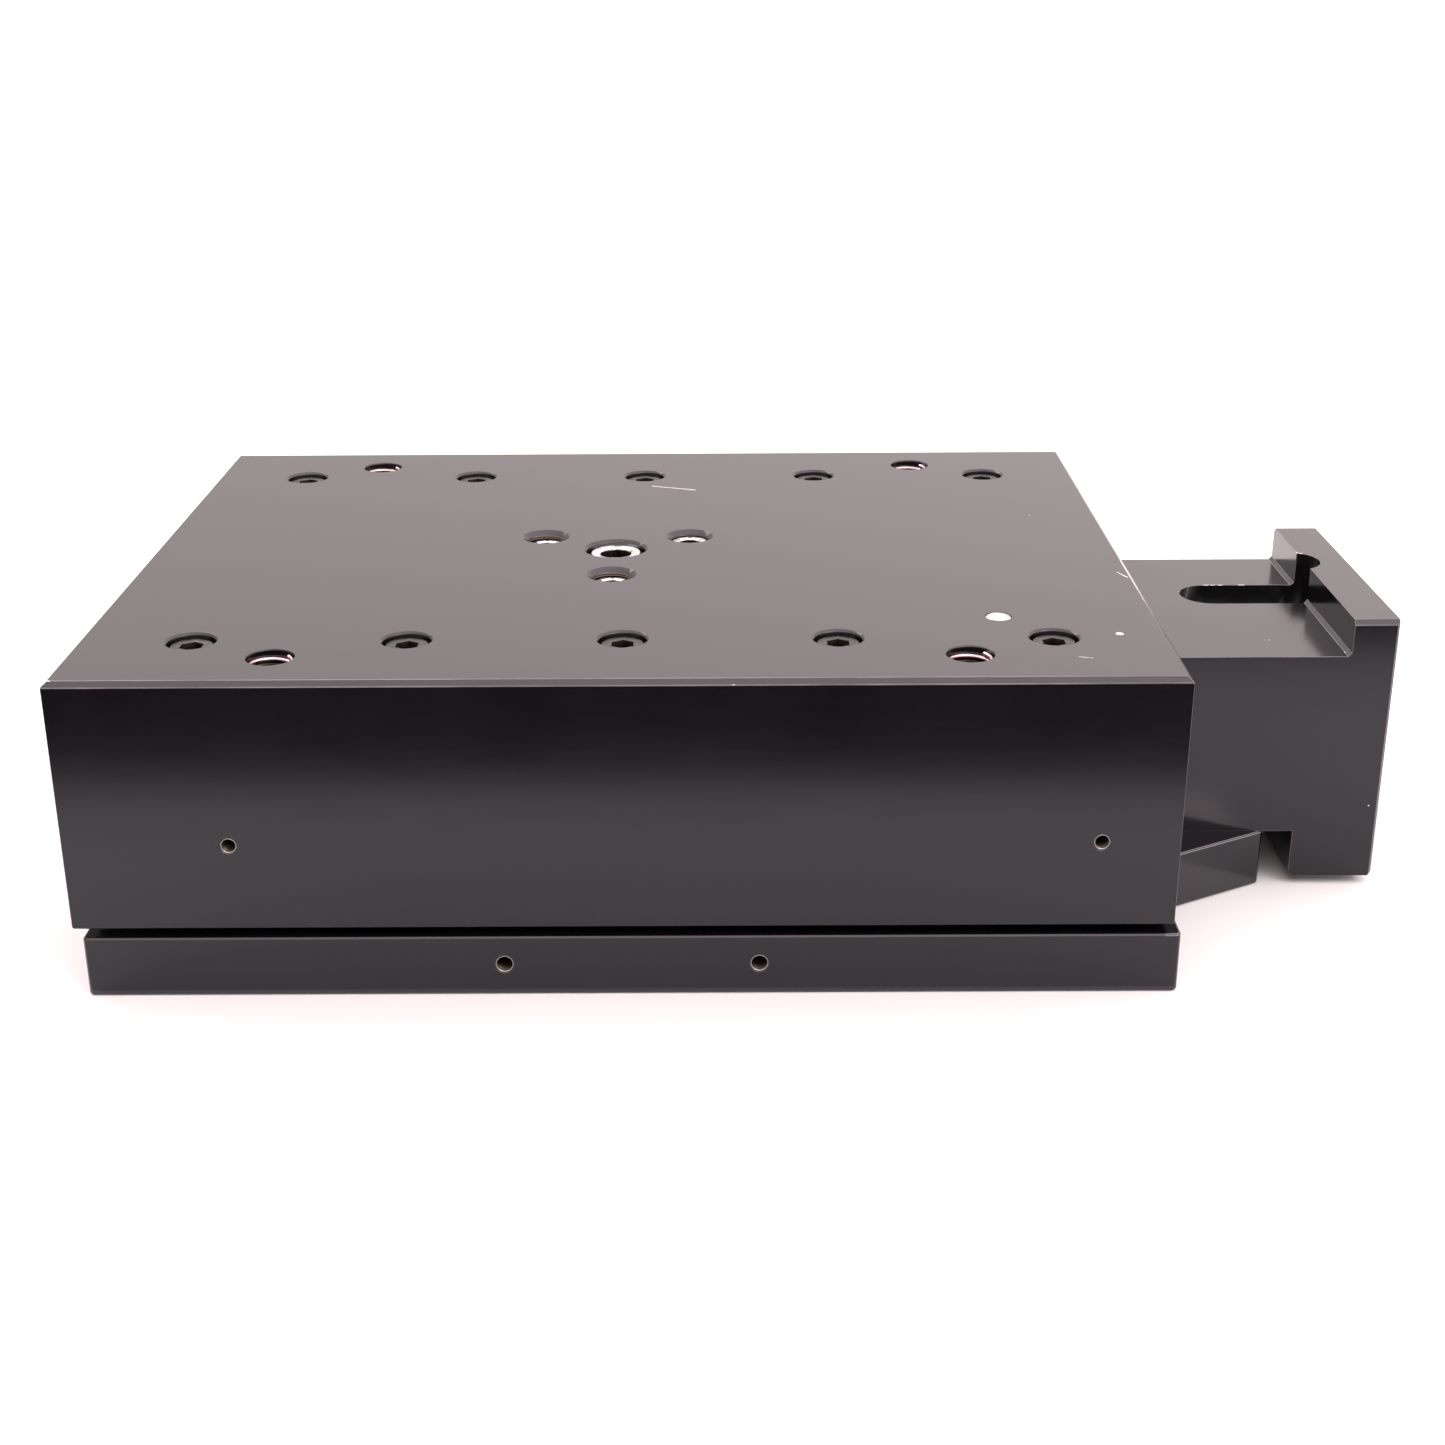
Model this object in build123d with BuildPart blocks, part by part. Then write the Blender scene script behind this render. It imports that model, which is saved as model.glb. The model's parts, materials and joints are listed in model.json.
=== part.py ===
from build123d import *
from math import sqrt
import os

# Screw-driven linear stage: a channel-shaped carriage rides on two pairs of
# crossed-roller rails over a flat base, and a ball screw with a motor flange moves it.
# Origin: centre of the base's underside. X is the travel, -Y the front, Z up. Millimetres.

# Overall sizes
stage_length = 203.0
stage_width = 160.0
stage_height = 62.5
base_thickness = 12.0
base_gap = 1.8  # between base and carriage skirts
plate_thickness = 12.0  # carriage plate above the rails
skirt_thickness = 17.0
rest_offset = -1.5  # where the carriage's middle stands at rest
travel_min = -36.0
travel_max = 39.0

# Crossed-roller rails, size 4
rail_length = 200.0
rail_width = 10.4
rail_height = 11.0
rail_gap = 1.2
rail_hole_pitch = 40.0
rail_hole_count = 5
roller_diameter = 3.9
roller_length = 3.7
roller_channel = 4.1
roller_pitch = 7.0
roller_count = 22
cage_length = 156.0
cage_height = 8.4
cage_thickness = 0.6

# Drive axis and motor mount
screw_y = -2.5
screw_z = 29.6
screw_diameter = 12.0
mount_width = 65.0
mount_left = 96.0
mount_right = 150.4
mount_top = 49.9
lip_left = 141.4
lip_top = 57.4
foot_left = 133.25
foot_bottom = 1.83
foot_chamfer = 0.8
lip_root = 0.7
mount_corner = 0.5
tongue_right = 127.2
tongue_root_width = 93.6
tongue_tip_width = 64.6
motor_pilot_diameter = 38.1
motor_pilot_depth = 2.4
motor_hole_spacing = 47.14
motor_hole_diameter = 4.2
slot_left = 115.5
slot_right = 144.8
slot_width = 12.7
slot_y = 4.7

# Payload interface, measured from the carriage's middle
payload_x = 63.5
payload_y = 67.1
rail_screw_y = 58.0
centre_x = -4.0
centre_y = -0.7
centre_circle_radius = 17.8
dowel_x = 71.1
dowel_y = -46.2
datum_x = 92.4
datum_y = -56.4

# Socket cap screws: thread, head, head height, hexagon across flats
cap_sizes = {
    "M3": (3.0, 5.5, 3.0, 2.5),
    "M4": (4.0, 7.0, 4.0, 3.0),
    "M5": (5.0, 8.5, 5.0, 4.0),
    "5/16": (7.94, 11.4, 7.94, 6.35),
}
hole_clearance = 0.1  # on the diameter, threads and dowels
payload_insert_outside = 8.7
payload_insert_bore = 6.9
payload_insert_recess = 0.55
payload_hole_radius = payload_insert_outside / 2 + 0.02
payload_hole_depth = 11.0
payload_rim = 0.2  # chamfers around the holes in the plate
rail_seat_radius = 4.5
rail_screw_rim = 0.45
centre_seat_radius = 6.15
centre_bolt_rim = 0.6
payload_insert_length = 10.0
bracket_thread = 8.0
bracket_screw_recesses = (1.3, 1.8, 1.8)  # right, left and front set screw
stop_screw_offset = 4.8

# Levels and places worked out from the sizes above
carriage_bottom = base_thickness + base_gap
rail_top = stage_height - plate_thickness
rail_bottom = rail_top - rail_height
roller_z = rail_top - rail_height / 2
plate_underside = rail_top + 0.5
outer_rail_side = stage_width / 2 - skirt_thickness
roller_y = outer_rail_side - rail_width - rail_gap / 2
inner_rail_y = roller_y - rail_gap / 2 - rail_width / 2
outer_rail_y = roller_y + rail_gap / 2 + rail_width / 2
inner_screw_y = inner_rail_y - 0.6
rail_hole_xs = [rail_hole_pitch * (i - (rail_hole_count - 1) / 2) for i in range(rail_hole_count)]
sides = (("front", -1), ("rear", 1))
screw_axis = Axis((0, screw_y, screw_z), (1, 0, 0))
screw_plane = Plane(origin=(0, screw_y, screw_z), x_dir=(1, 0, 0), z_dir=(0, -1, 0))
side_plane = Plane(origin=(0, screw_y, 0), x_dir=(1, 0, 0), z_dir=(0, -1, 0))
motor_face = Plane(origin=(mount_right, screw_y, screw_z), x_dir=(0, 1, 0), z_dir=(1, 0, 0))

os.makedirs("parts", exist_ok=True)


def save(piece, name):
    """Label one sub-part and write its STEP file."""
    piece.part.label = name
    export_step(piece.part, f"parts/{name}.step")


def up_at(x, y, z):
    """A seat whose screws and holes face up."""
    return Location((x, y, z))


def down_at(x, y, z):
    """A seat whose screws and holes face down."""
    return Location((x, y, z), (180, 0, 0))


def right_at(x, y, z):
    """A seat whose axis points along +X."""
    return Location((x, y, z), (0, 90, 0))


def front_at(x, y, z):
    """A seat whose axis points to the front."""
    return Location((x, y, z), (90, 0, 0))


def drill_cap_seats(size, seats, sink, depth):
    """Counterbored clearance holes for cap screws, cut in the part being built."""
    thread, head, _, _ = cap_sizes[size]
    with Locations(*seats):
        CounterBoreHole(thread / 2 + 0.25, head / 2 + 0.7, sink, depth)


def drill_threads(size, seats, depth):
    """Plain holes of the thread's outside size, cut in the part being built."""
    thread = cap_sizes[size][0]
    with Locations(*seats):
        Hole(thread / 2 + hole_clearance / 2, depth)


def cap_screws(size, seats, sink, length):
    """Cap screws whose heads stand on floors sunk below their seats."""
    thread, head, head_height, hexagon = cap_sizes[size]
    floors = [seat * Location((0, 0, -sink)) for seat in seats]
    head_axis = Axis((0, 0, 0), Plane(seats[0]).z_dir)
    tops = [Plane(floor * Location((0, 0, head_height))) for floor in floors]
    with BuildPart() as screws:
        with Locations(*floors):
            Cylinder(head / 2, head_height, align=(Align.CENTER, Align.CENTER, Align.MIN))
        chamfer(screws.edges().group_by(head_axis)[-1], length=head_height * 0.08)
        with Locations(*floors):
            Cylinder(thread / 2, length, align=(Align.CENTER, Align.CENTER, Align.MAX))
        with BuildSketch(*tops):
            RegularPolygon(hexagon / 2, 6, major_radius=False)
        extrude(amount=-head_height * 0.55, mode=Mode.SUBTRACT)
    return screws


def turned(outline):
    """A turned piece: an outline of (x, radius) points spun about the drive axis."""
    with BuildPart() as piece:
        with BuildSketch(screw_plane):
            with BuildLine():
                Polyline(*outline, close=True)
            make_face()
        revolve(axis=screw_axis)
    return piece


def bore_out(x_from, x_to, diameter):
    """Cut a bore about the drive axis in the part being built."""
    with Locations(right_at((x_from + x_to) / 2, screw_y, screw_z)):
        Cylinder(diameter / 2, x_to - x_from, mode=Mode.SUBTRACT)


# Seats and faces that two pieces share
base_bolt_x = 177.8 / 2
base_bolt_y = 127.0 / 2
support_seats = [down_at(x, s * inner_rail_y, 0) for x in rail_hole_xs for _, s in sides]
mount_seats = [down_at(x, screw_y + y, 0) for x in (106.0, 121.0) for y in (-23.5, 23.5)]
tail_left = -101.5
tail_right = -87.0
tail_middle = (tail_left + tail_right) / 2
tail_seats = [down_at(tail_middle, screw_y + y, 0) for y in (-18.0, 18.0)]
bracket_left = rest_offset - 28.0
bracket_right = rest_offset + 20.0
bracket_bottom = 15.0
bracket_width = 61.0
nut_flange_thickness = 8.0
stop_y = 22.5
stop_length = 16.0
bumper_thickness = 4.0
bumper_slack = 0.3
stop_left_face = bracket_left + travel_min - bumper_slack
stop_right_face = bracket_right + travel_max + bumper_slack
stop_middles = (
    stop_left_face - bumper_thickness - stop_length / 2,
    stop_right_face + bumper_thickness + stop_length / 2,
)
stop_screw_xs = [x + dx for x in stop_middles for dx in (-stop_screw_offset, stop_screw_offset)]
stop_seats = [down_at(x, stop_y, 0) for x in stop_screw_xs]
base_screw_sink = 6.5
base_screw_grip = base_thickness - base_screw_sink


def make_base_plate():
    """Flat base with a tapered tongue under the motor mount."""
    half = stage_length / 2
    with BuildPart() as base:
        with BuildSketch():
            Rectangle(stage_length, stage_width)
            with BuildLine():
                Polyline(
                    (half - 5, screw_y - tongue_root_width / 2),
                    (half, screw_y - tongue_root_width / 2),
                    (tongue_right, screw_y - tongue_tip_width / 2),
                    (tongue_right, screw_y + tongue_tip_width / 2),
                    (half, screw_y + tongue_root_width / 2),
                    (half - 5, screw_y + tongue_root_width / 2),
                    close=True,
                )
            make_face()
        extrude(amount=base_thickness)
        fillet(base.edges().filter_by(Axis.Z), radius=1.0)
        fillet(base.faces().sort_by(Axis.Z)[0].outer_wire().edges(), radius=0.7)
        chamfer(base.faces().sort_by(Axis.Z)[-1].outer_wire().edges(), length=0.3)
        with Locations(Plane.XY.offset(base_thickness)):
            with GridLocations(2 * base_bolt_x, 2 * base_bolt_y, 2, 2):
                CounterBoreHole(3.4, 5.6, 6.8, base_thickness)
        drill_cap_seats("M5", support_seats + mount_seats + tail_seats, base_screw_sink, base_thickness)
        drill_cap_seats("M4", stop_seats, base_screw_sink, base_thickness)
        with Locations(*[front_at(x, -stage_width / 2, 6.3) for x in (-23.65, 23.65)]):
            CounterSinkHole(1.65, 1.8, 10)
    return base


def make_rail_support(side):
    """Bar that lifts an inner rail off the base."""
    seats_top = [up_at(x, side * inner_screw_y, rail_bottom) for x in rail_hole_xs]
    seats_bottom = [down_at(x, side * inner_rail_y, base_thickness) for x in rail_hole_xs]
    with BuildPart() as support:
        with Locations((0, side * inner_rail_y, base_thickness)):
            Box(
                rail_length,
                rail_width,
                rail_bottom - base_thickness,
                align=(Align.CENTER, Align.CENTER, Align.MIN),
            )
        chamfer(support.edges().filter_by(Axis.Z), length=0.4)
        drill_threads("M4", seats_top, 10)
        drill_threads("M5", seats_bottom, 12)
    return support


def rail_body(y, x):
    """Rail with a V groove for the rollers, still without holes."""
    groove = roller_y if y > 0 else -roller_y
    with BuildPart() as rail:
        with BuildSketch(Plane.YZ.offset(x)):
            with Locations((y, roller_z)):
                Rectangle(rail_width, rail_height)
            with Locations((groove, roller_z)):
                Rectangle(roller_channel, roller_channel, rotation=45, mode=Mode.SUBTRACT)
                Rectangle(roller_channel * sqrt(2) + 0.5, 0.6, mode=Mode.SUBTRACT)
        extrude(amount=rail_length / 2, both=True)
    return rail


def make_inner_rail(side):
    """Rail on the base, held down through counterbores."""
    rail = rail_body(side * inner_rail_y, 0)
    with rail:
        with Locations(*[up_at(x, side * inner_screw_y, rail_top) for x in rail_hole_xs]):
            CounterBoreHole(2.25, 3.8, 4.4, rail_height)
        with Locations(*[right_at(s * rail_length / 2, side * inner_rail_y, roller_z) for s in (-1, 1)]):
            Cylinder(1.05, 10, mode=Mode.SUBTRACT)
    return rail


def make_outer_rail(side):
    """Rail under the carriage, threaded for the screws in the plate."""
    rail = rail_body(side * outer_rail_y, rest_offset)
    with rail:
        seats = [up_at(rest_offset + x, side * rail_screw_y, rail_top) for x in rail_hole_xs]
        drill_threads("M5", seats, 8)
    return rail


def make_cage(side):
    """Thin strip that keeps the rollers apart."""
    with BuildPart() as cage:
        with BuildSketch(Plane.XZ.offset(-side * roller_y)):
            with Locations((rest_offset / 2, roller_z)):
                Rectangle(cage_length, cage_height)
                with GridLocations(roller_pitch, 1, roller_count, 1):
                    Rectangle(roller_diameter + 0.4, roller_length * sqrt(2) + 0.6, mode=Mode.SUBTRACT)
        extrude(amount=cage_thickness / 2, both=True)
    return cage


def make_rollers(side):
    """Rollers whose axes lean 45 degrees, alternately up and down."""
    first = rest_offset / 2 - roller_pitch * (roller_count - 1) / 2
    with BuildPart() as rollers:
        for i in range(roller_count):
            lean = 45 if i % 2 else -45
            with Locations(Location((first + i * roller_pitch, side * roller_y, roller_z), (lean, 0, 0))):
                Cylinder(roller_diameter / 2, roller_length)
    return rollers


def make_cage_stops():
    """Small plates on the inner rails' ends that the cages can't pass."""
    thickness = 1.1
    with BuildPart() as plates:
        for x in (-1, 1):
            for _, side in sides:
                middle = side * (inner_rail_y + 0.9)
                with Locations((x * (rail_length + thickness) / 2, middle, roller_z)):
                    Box(thickness, rail_width - 1.4, 7)
                seat = right_at(x * rail_length / 2, side * inner_rail_y, roller_z)
                with Locations(seat):
                    Cylinder(1.1, 4, mode=Mode.SUBTRACT)
    return plates


def make_cage_stop_screws():
    """Button-head screws that hold the cage stops."""
    with BuildPart() as screws:
        for x in (-1, 1):
            for _, side in sides:
                tilt = (0, 90 * x, 0)
                with Locations(Location((x * (rail_length / 2 + 1.1), side * inner_rail_y, roller_z), tilt)):
                    Cylinder(1.9, 1.2, align=(Align.CENTER, Align.CENTER, Align.MIN))
                    Cylinder(1.0, 5.6, align=(Align.CENTER, Align.CENTER, Align.MAX))
    return screws


def make_carriage():
    """One-piece channel: top plate and two skirts, with the payload holes."""
    height = stage_height - carriage_bottom
    inside = 2 * outer_rail_side
    with BuildPart() as carriage:
        with BuildSketch(Plane.YZ.offset(rest_offset)):
            with Locations((0, stage_height - height / 2)):
                Rectangle(stage_width, height)
            with Locations((0, carriage_bottom)):
                Rectangle(inside, 2 * (rail_top - carriage_bottom), mode=Mode.SUBTRACT)
                Rectangle(2 * roller_y, 2 * (plate_underside - carriage_bottom), mode=Mode.SUBTRACT)
        extrude(amount=stage_length / 2, both=True)
        fillet(carriage.edges().group_by(Axis.Z)[0], radius=0.7)
        chamfer(carriage.faces().sort_by(Axis.Z)[-1].outer_wire().edges(), length=1.0)
        with Locations(Plane.XY.offset(stage_height)):
            with Locations((rest_offset, 0)):
                with GridLocations(rail_hole_pitch, 2 * rail_screw_y, rail_hole_count, 2):
                    CounterSinkHole(rail_seat_radius, rail_seat_radius + rail_screw_rim, 6.0, 90)
                    Hole(2.75, plate_thickness)
                with GridLocations(2 * payload_x, 2 * payload_y, 2, 2):
                    rim_radius = payload_hole_radius + payload_rim
                    CounterSinkHole(payload_hole_radius, rim_radius, payload_hole_depth, 90)
            with Locations((rest_offset + centre_x, centre_y)):
                CounterSinkHole(centre_seat_radius, centre_seat_radius + centre_bolt_rim, 8.84, 90)
                Hole(4.2, plate_thickness)
                with PolarLocations(centre_circle_radius, 3, start_angle=30):
                    CounterSinkHole(bracket_thread / 2 + 0.02, 5.1, plate_thickness, 90)
            with Locations((rest_offset + dowel_x, dowel_y)):
                Hole(2.52, 8)
            with Locations((rest_offset + datum_x, datum_y)):
                Hole(0.82, 5)
        with Locations(*[front_at(rest_offset + x, -stage_width / 2, 30.7) for x in (-71.2, 87.2)]):
            CounterSinkHole(1.45, 1.65, 10)
    return carriage


def make_payload_inserts():
    """Coiled thread inserts in the four payload holes, here as plain sleeves."""
    top = Plane.XY.offset(stage_height - payload_insert_recess)
    with BuildPart() as inserts:
        with BuildSketch(top):
            with Locations((rest_offset, 0)):
                with GridLocations(2 * payload_x, 2 * payload_y, 2, 2):
                    Circle(payload_insert_outside / 2)
                    Circle(payload_insert_bore / 2, mode=Mode.SUBTRACT)
        extrude(amount=-payload_insert_length)
    return inserts


def make_bracket_set_screws():
    """Socket set screws that bear on the nut bracket, each driven to its own depth."""
    ring = PolarLocations(centre_circle_radius, 3, start_angle=30).local_locations
    with BuildPart() as screws:
        for spot, recess in zip(ring, bracket_screw_recesses):
            x = rest_offset + centre_x + spot.position.X
            y = centre_y + spot.position.Y
            top = stage_height - recess
            with Locations((x, y, plate_underside)):
                Cylinder(
                    bracket_thread / 2,
                    top - plate_underside,
                    align=(Align.CENTER, Align.CENTER, Align.MIN),
                )
            with BuildSketch(Plane(origin=(x, y, top))):
                RegularPolygon(2.0, 6, major_radius=False)
            extrude(amount=-4, mode=Mode.SUBTRACT)
    return screws


def make_nut_bracket():
    """Aluminium block that carries the ball nut under the plate."""
    length = bracket_right - bracket_left
    dowel_seats = [up_at(bracket_left + x, screw_y, plate_underside) for x in (5, length - 5)]
    with BuildPart() as bracket:
        with Locations(((bracket_left + bracket_right) / 2, screw_y, bracket_bottom)):
            Box(
                length,
                bracket_width,
                plate_underside - bracket_bottom,
                align=(Align.CENTER, Align.CENTER, Align.MIN),
            )
        chamfer(bracket.edges().filter_by(Axis.X).group_by(Axis.Z)[0], length=5)
        bore_out(bracket_left - 1, bracket_right + 1, 24.2)
        drill_threads("M4", nut_seats(bracket_right), 10)
        drill_threads("5/16", [up_at(rest_offset + centre_x, centre_y, plate_underside)], 9)
        with Locations(*dowel_seats):
            Hole(2.02, 7)
    return bracket


def nut_seats(x):
    """The four screws of the ball nut's flange, facing right."""
    return [right_at(x, screw_y + y, screw_z + z) for y in (-13, 13) for z in (-7.5, 7.5)]


def make_ball_nut():
    """Flanged nut with two flats on its flange."""
    nut_left = bracket_right - 42
    nut_bore = screw_diameter / 2 + 0.1
    flange_face = bracket_right + nut_flange_thickness
    outline = [
        (nut_left, nut_bore),
        (flange_face, nut_bore),
        (flange_face, 18.0),
        (bracket_right, 18.0),
        (bracket_right, 12.0),
        (nut_left, 12.0),
    ]
    nut = turned(outline)
    with nut:
        for z in (-1, 1):
            with Locations((bracket_right + nut_flange_thickness / 2, screw_y, screw_z + z * 18.5)):
                Box(nut_flange_thickness + 0.01, 40, 10, mode=Mode.SUBTRACT)
        with Locations(*nut_seats(flange_face)):
            Hole(2.2, nut_flange_thickness)
    return nut


def ring_outline(x, width, inside, outside):
    """Rectangle between two radii, as an outline for a turned ring."""
    return [(x, inside), (x + width, inside), (x + width, outside), (x, outside)]


def make_rings(starts, width, inside, outside, pitch_radius, groove):
    """Bearing rings side by side, each with a ball groove."""
    with BuildPart() as rings:
        for x in starts:
            with BuildSketch(screw_plane):
                with Locations((x + width / 2, (inside + outside) / 2)):
                    Rectangle(width - 0.1, outside - inside)
                with Locations((x + width / 2, pitch_radius)):
                    Circle(groove, mode=Mode.SUBTRACT)
            revolve(axis=screw_axis)
    return rings


def make_balls(starts, width, pitch_radius, radius, count):
    """Balls of the bearings, each a separate solid."""
    with BuildPart() as balls:
        for x in starts:
            row = Plane(origin=(x + width / 2, screw_y, screw_z), z_dir=(1, 0, 0))
            with Locations(row):
                with PolarLocations(pitch_radius, count):
                    Sphere(radius)
    return balls


def make_motor_mount():
    """Bearing housing, coupling chamber and motor flange in one block."""
    slot_middle = (slot_left + slot_right) / 2
    with BuildPart() as mount:
        with BuildSketch(side_plane):
            with BuildLine():
                Polyline(
                    (mount_left, base_thickness),
                    (foot_left, base_thickness),
                    (foot_left, foot_bottom + foot_chamfer),
                    (foot_left + foot_chamfer, foot_bottom),
                    (mount_right - foot_chamfer, foot_bottom),
                    (mount_right, foot_bottom + foot_chamfer),
                    (mount_right, lip_top),
                    (lip_left, lip_top),
                    (lip_left, mount_top + lip_root),
                    (lip_left - lip_root, mount_top),
                    (mount_left, mount_top),
                    close=True,
                )
            make_face()
        extrude(amount=mount_width / 2, both=True)
        lip_edges = mount.edges().filter_by(Axis.X).group_by(Axis.Z)[-1]
        chamfer(lip_edges, length=1.0)
        corner_edges = mount.edges().filter_by(Axis.Z).group_by(Axis.X)[-1]
        chamfer(corner_edges, length=mount_corner)
        bore_out(mount_left - 1, 113, 26)
        bore_out(112, 116, 22)
        bore_out(115, mount_right, 32)
        bore_out(mount_right - motor_pilot_depth, mount_right + 1, motor_pilot_diameter)
        with BuildSketch(Plane.XY.offset(lip_top)):
            with Locations((slot_middle, slot_y)):
                SlotOverall(slot_right - slot_left, slot_width)
        extrude(amount=screw_z + 3 - lip_top, mode=Mode.SUBTRACT)
        with Locations(motor_face):
            with GridLocations(motor_hole_spacing, motor_hole_spacing, 2, 2):
                Hole(motor_hole_diameter / 2, 7.5)
        drill_threads("M5", [seat * Location((0, 0, -base_thickness)) for seat in mount_seats], 12)
        drill_threads("M3", retainer_seats(mount_left), 8)
    return mount


def retainer_seats(x):
    """The four screws of the bearing retainer, facing left."""
    return [
        Location((x, screw_y + y, screw_z + z), (0, -90, 0))
        for y in (-17.5, 17.5)
        for z in (-12.5, 12.5)
    ]


def make_retainer():
    """Plate that clamps the bearings' outer rings."""
    with BuildPart() as retainer:
        with Locations((mount_left - 2, screw_y, screw_z)):
            Box(4, 44, 34)
        fillet(retainer.edges().filter_by(Axis.X), radius=3)
        with Locations(right_at(mount_left + 0.5, screw_y, screw_z)):
            Cylinder(12.9, 1)
        bore_out(mount_left - 5, mount_left + 2, 16)
        with Locations(*retainer_seats(mount_left - 4)):
            Hole(1.7, 4)
    return retainer


def make_tail_block():
    """Housing of the screw's far bearing."""
    with BuildPart() as block:
        with Locations((tail_middle, screw_y, base_thickness)):
            Box(
                tail_right - tail_left,
                50,
                34,
                align=(Align.CENTER, Align.CENTER, Align.MIN),
            )
        chamfer(block.edges().filter_by(Axis.X).group_by(Axis.Z)[-1], length=3)
        bore_out(tail_left - 1, -92.5, 16)
        bore_out(-93, tail_right + 1, 11)
        drill_threads("M5", [seat * Location((0, 0, -base_thickness)) for seat in tail_seats], 12)
    return block


def make_stop_block(x):
    """Hard stop on the base, with a rubber button on its working face."""
    toward = 1 if x < 0 else -1
    with BuildPart() as block:
        with Locations((x, stop_y, base_thickness)):
            Box(stop_length, 11, 22, align=(Align.CENTER, Align.CENTER, Align.MIN))
        chamfer(block.edges().filter_by(Axis.Y).group_by(Axis.Z)[-1], length=2)
        with Locations(right_at(x + toward * stop_length / 2, stop_y, base_thickness + 14)):
            Cylinder(2.05, 6, mode=Mode.SUBTRACT)
        seats = [down_at(x + dx, stop_y, base_thickness) for dx in (-stop_screw_offset, stop_screw_offset)]
        drill_threads("M4", seats, 8)
    return block


def make_bumper(x):
    """Rubber button with a stem pressed in the stop block."""
    toward = 1 if x < 0 else -1
    tilt = (0, 90 * toward, 0)
    with BuildPart() as bumper:
        with Locations(Location((x + toward * stop_length / 2, stop_y, base_thickness + 14), tilt)):
            Cylinder(4.5, bumper_thickness, align=(Align.CENTER, Align.CENTER, Align.MIN))
            Cylinder(2.0, 2.9, align=(Align.CENTER, Align.CENTER, Align.MAX))
        fillet(bumper.edges().group_by(Axis.X)[-1 if toward > 0 else 0], radius=0.8)
    return bumper


def make_ball_screw():
    """Screw shaft with its bearing journals."""
    outline = [
        (-100.0, 0),
        (131.5, 0),
        (131.5, 3.97),
        (119.0, 3.97),
        (119.0, 4.97),
        (97.0, 4.97),
        (97.0, screw_diameter / 2),
        (-86.0, screw_diameter / 2),
        (-86.0, 3.97),
        (-97.6, 3.97),
        (-97.6, 3.6),
        (-98.5, 3.6),
        (-98.5, 3.97),
        (-100.0, 3.97),
    ]
    return turned(outline)


def make_coupling():
    """Slit flexible coupling with a clamping hub at each end."""
    left = 120.0
    right = 146.0
    coupling = turned(ring_outline(left, right - left, 3.175, 12.5))
    with coupling:
        chamfer(coupling.edges().filter_by(GeomType.CIRCLE).sort_by(SortBy.RADIUS)[-2:], length=0.5)
        bore_out(left - 1, left + 13.2, 8)
        for i in range(4):
            with Locations(Location((131.2 + 1.6 * i, screw_y, screw_z), (90 * i, 0, 0))):
                with Locations((0, 3.5, 0)):
                    Box(0.7, 25, 26, mode=Mode.SUBTRACT)
        for x in (left + 4.5, right - 4.5):
            with Locations((x, screw_y + 7, screw_z)):
                Box(9.2, 14, 1.0, mode=Mode.SUBTRACT)
            with Locations(up_at(x, screw_y + 8.2, screw_z + 5.2)):
                Cylinder(3.1, 8, align=(Align.CENTER, Align.CENTER, Align.MIN), mode=Mode.SUBTRACT)
            with Locations(up_at(x, screw_y + 8.2, screw_z)):
                Cylinder(1.55, 14, mode=Mode.SUBTRACT)
    return coupling


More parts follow.
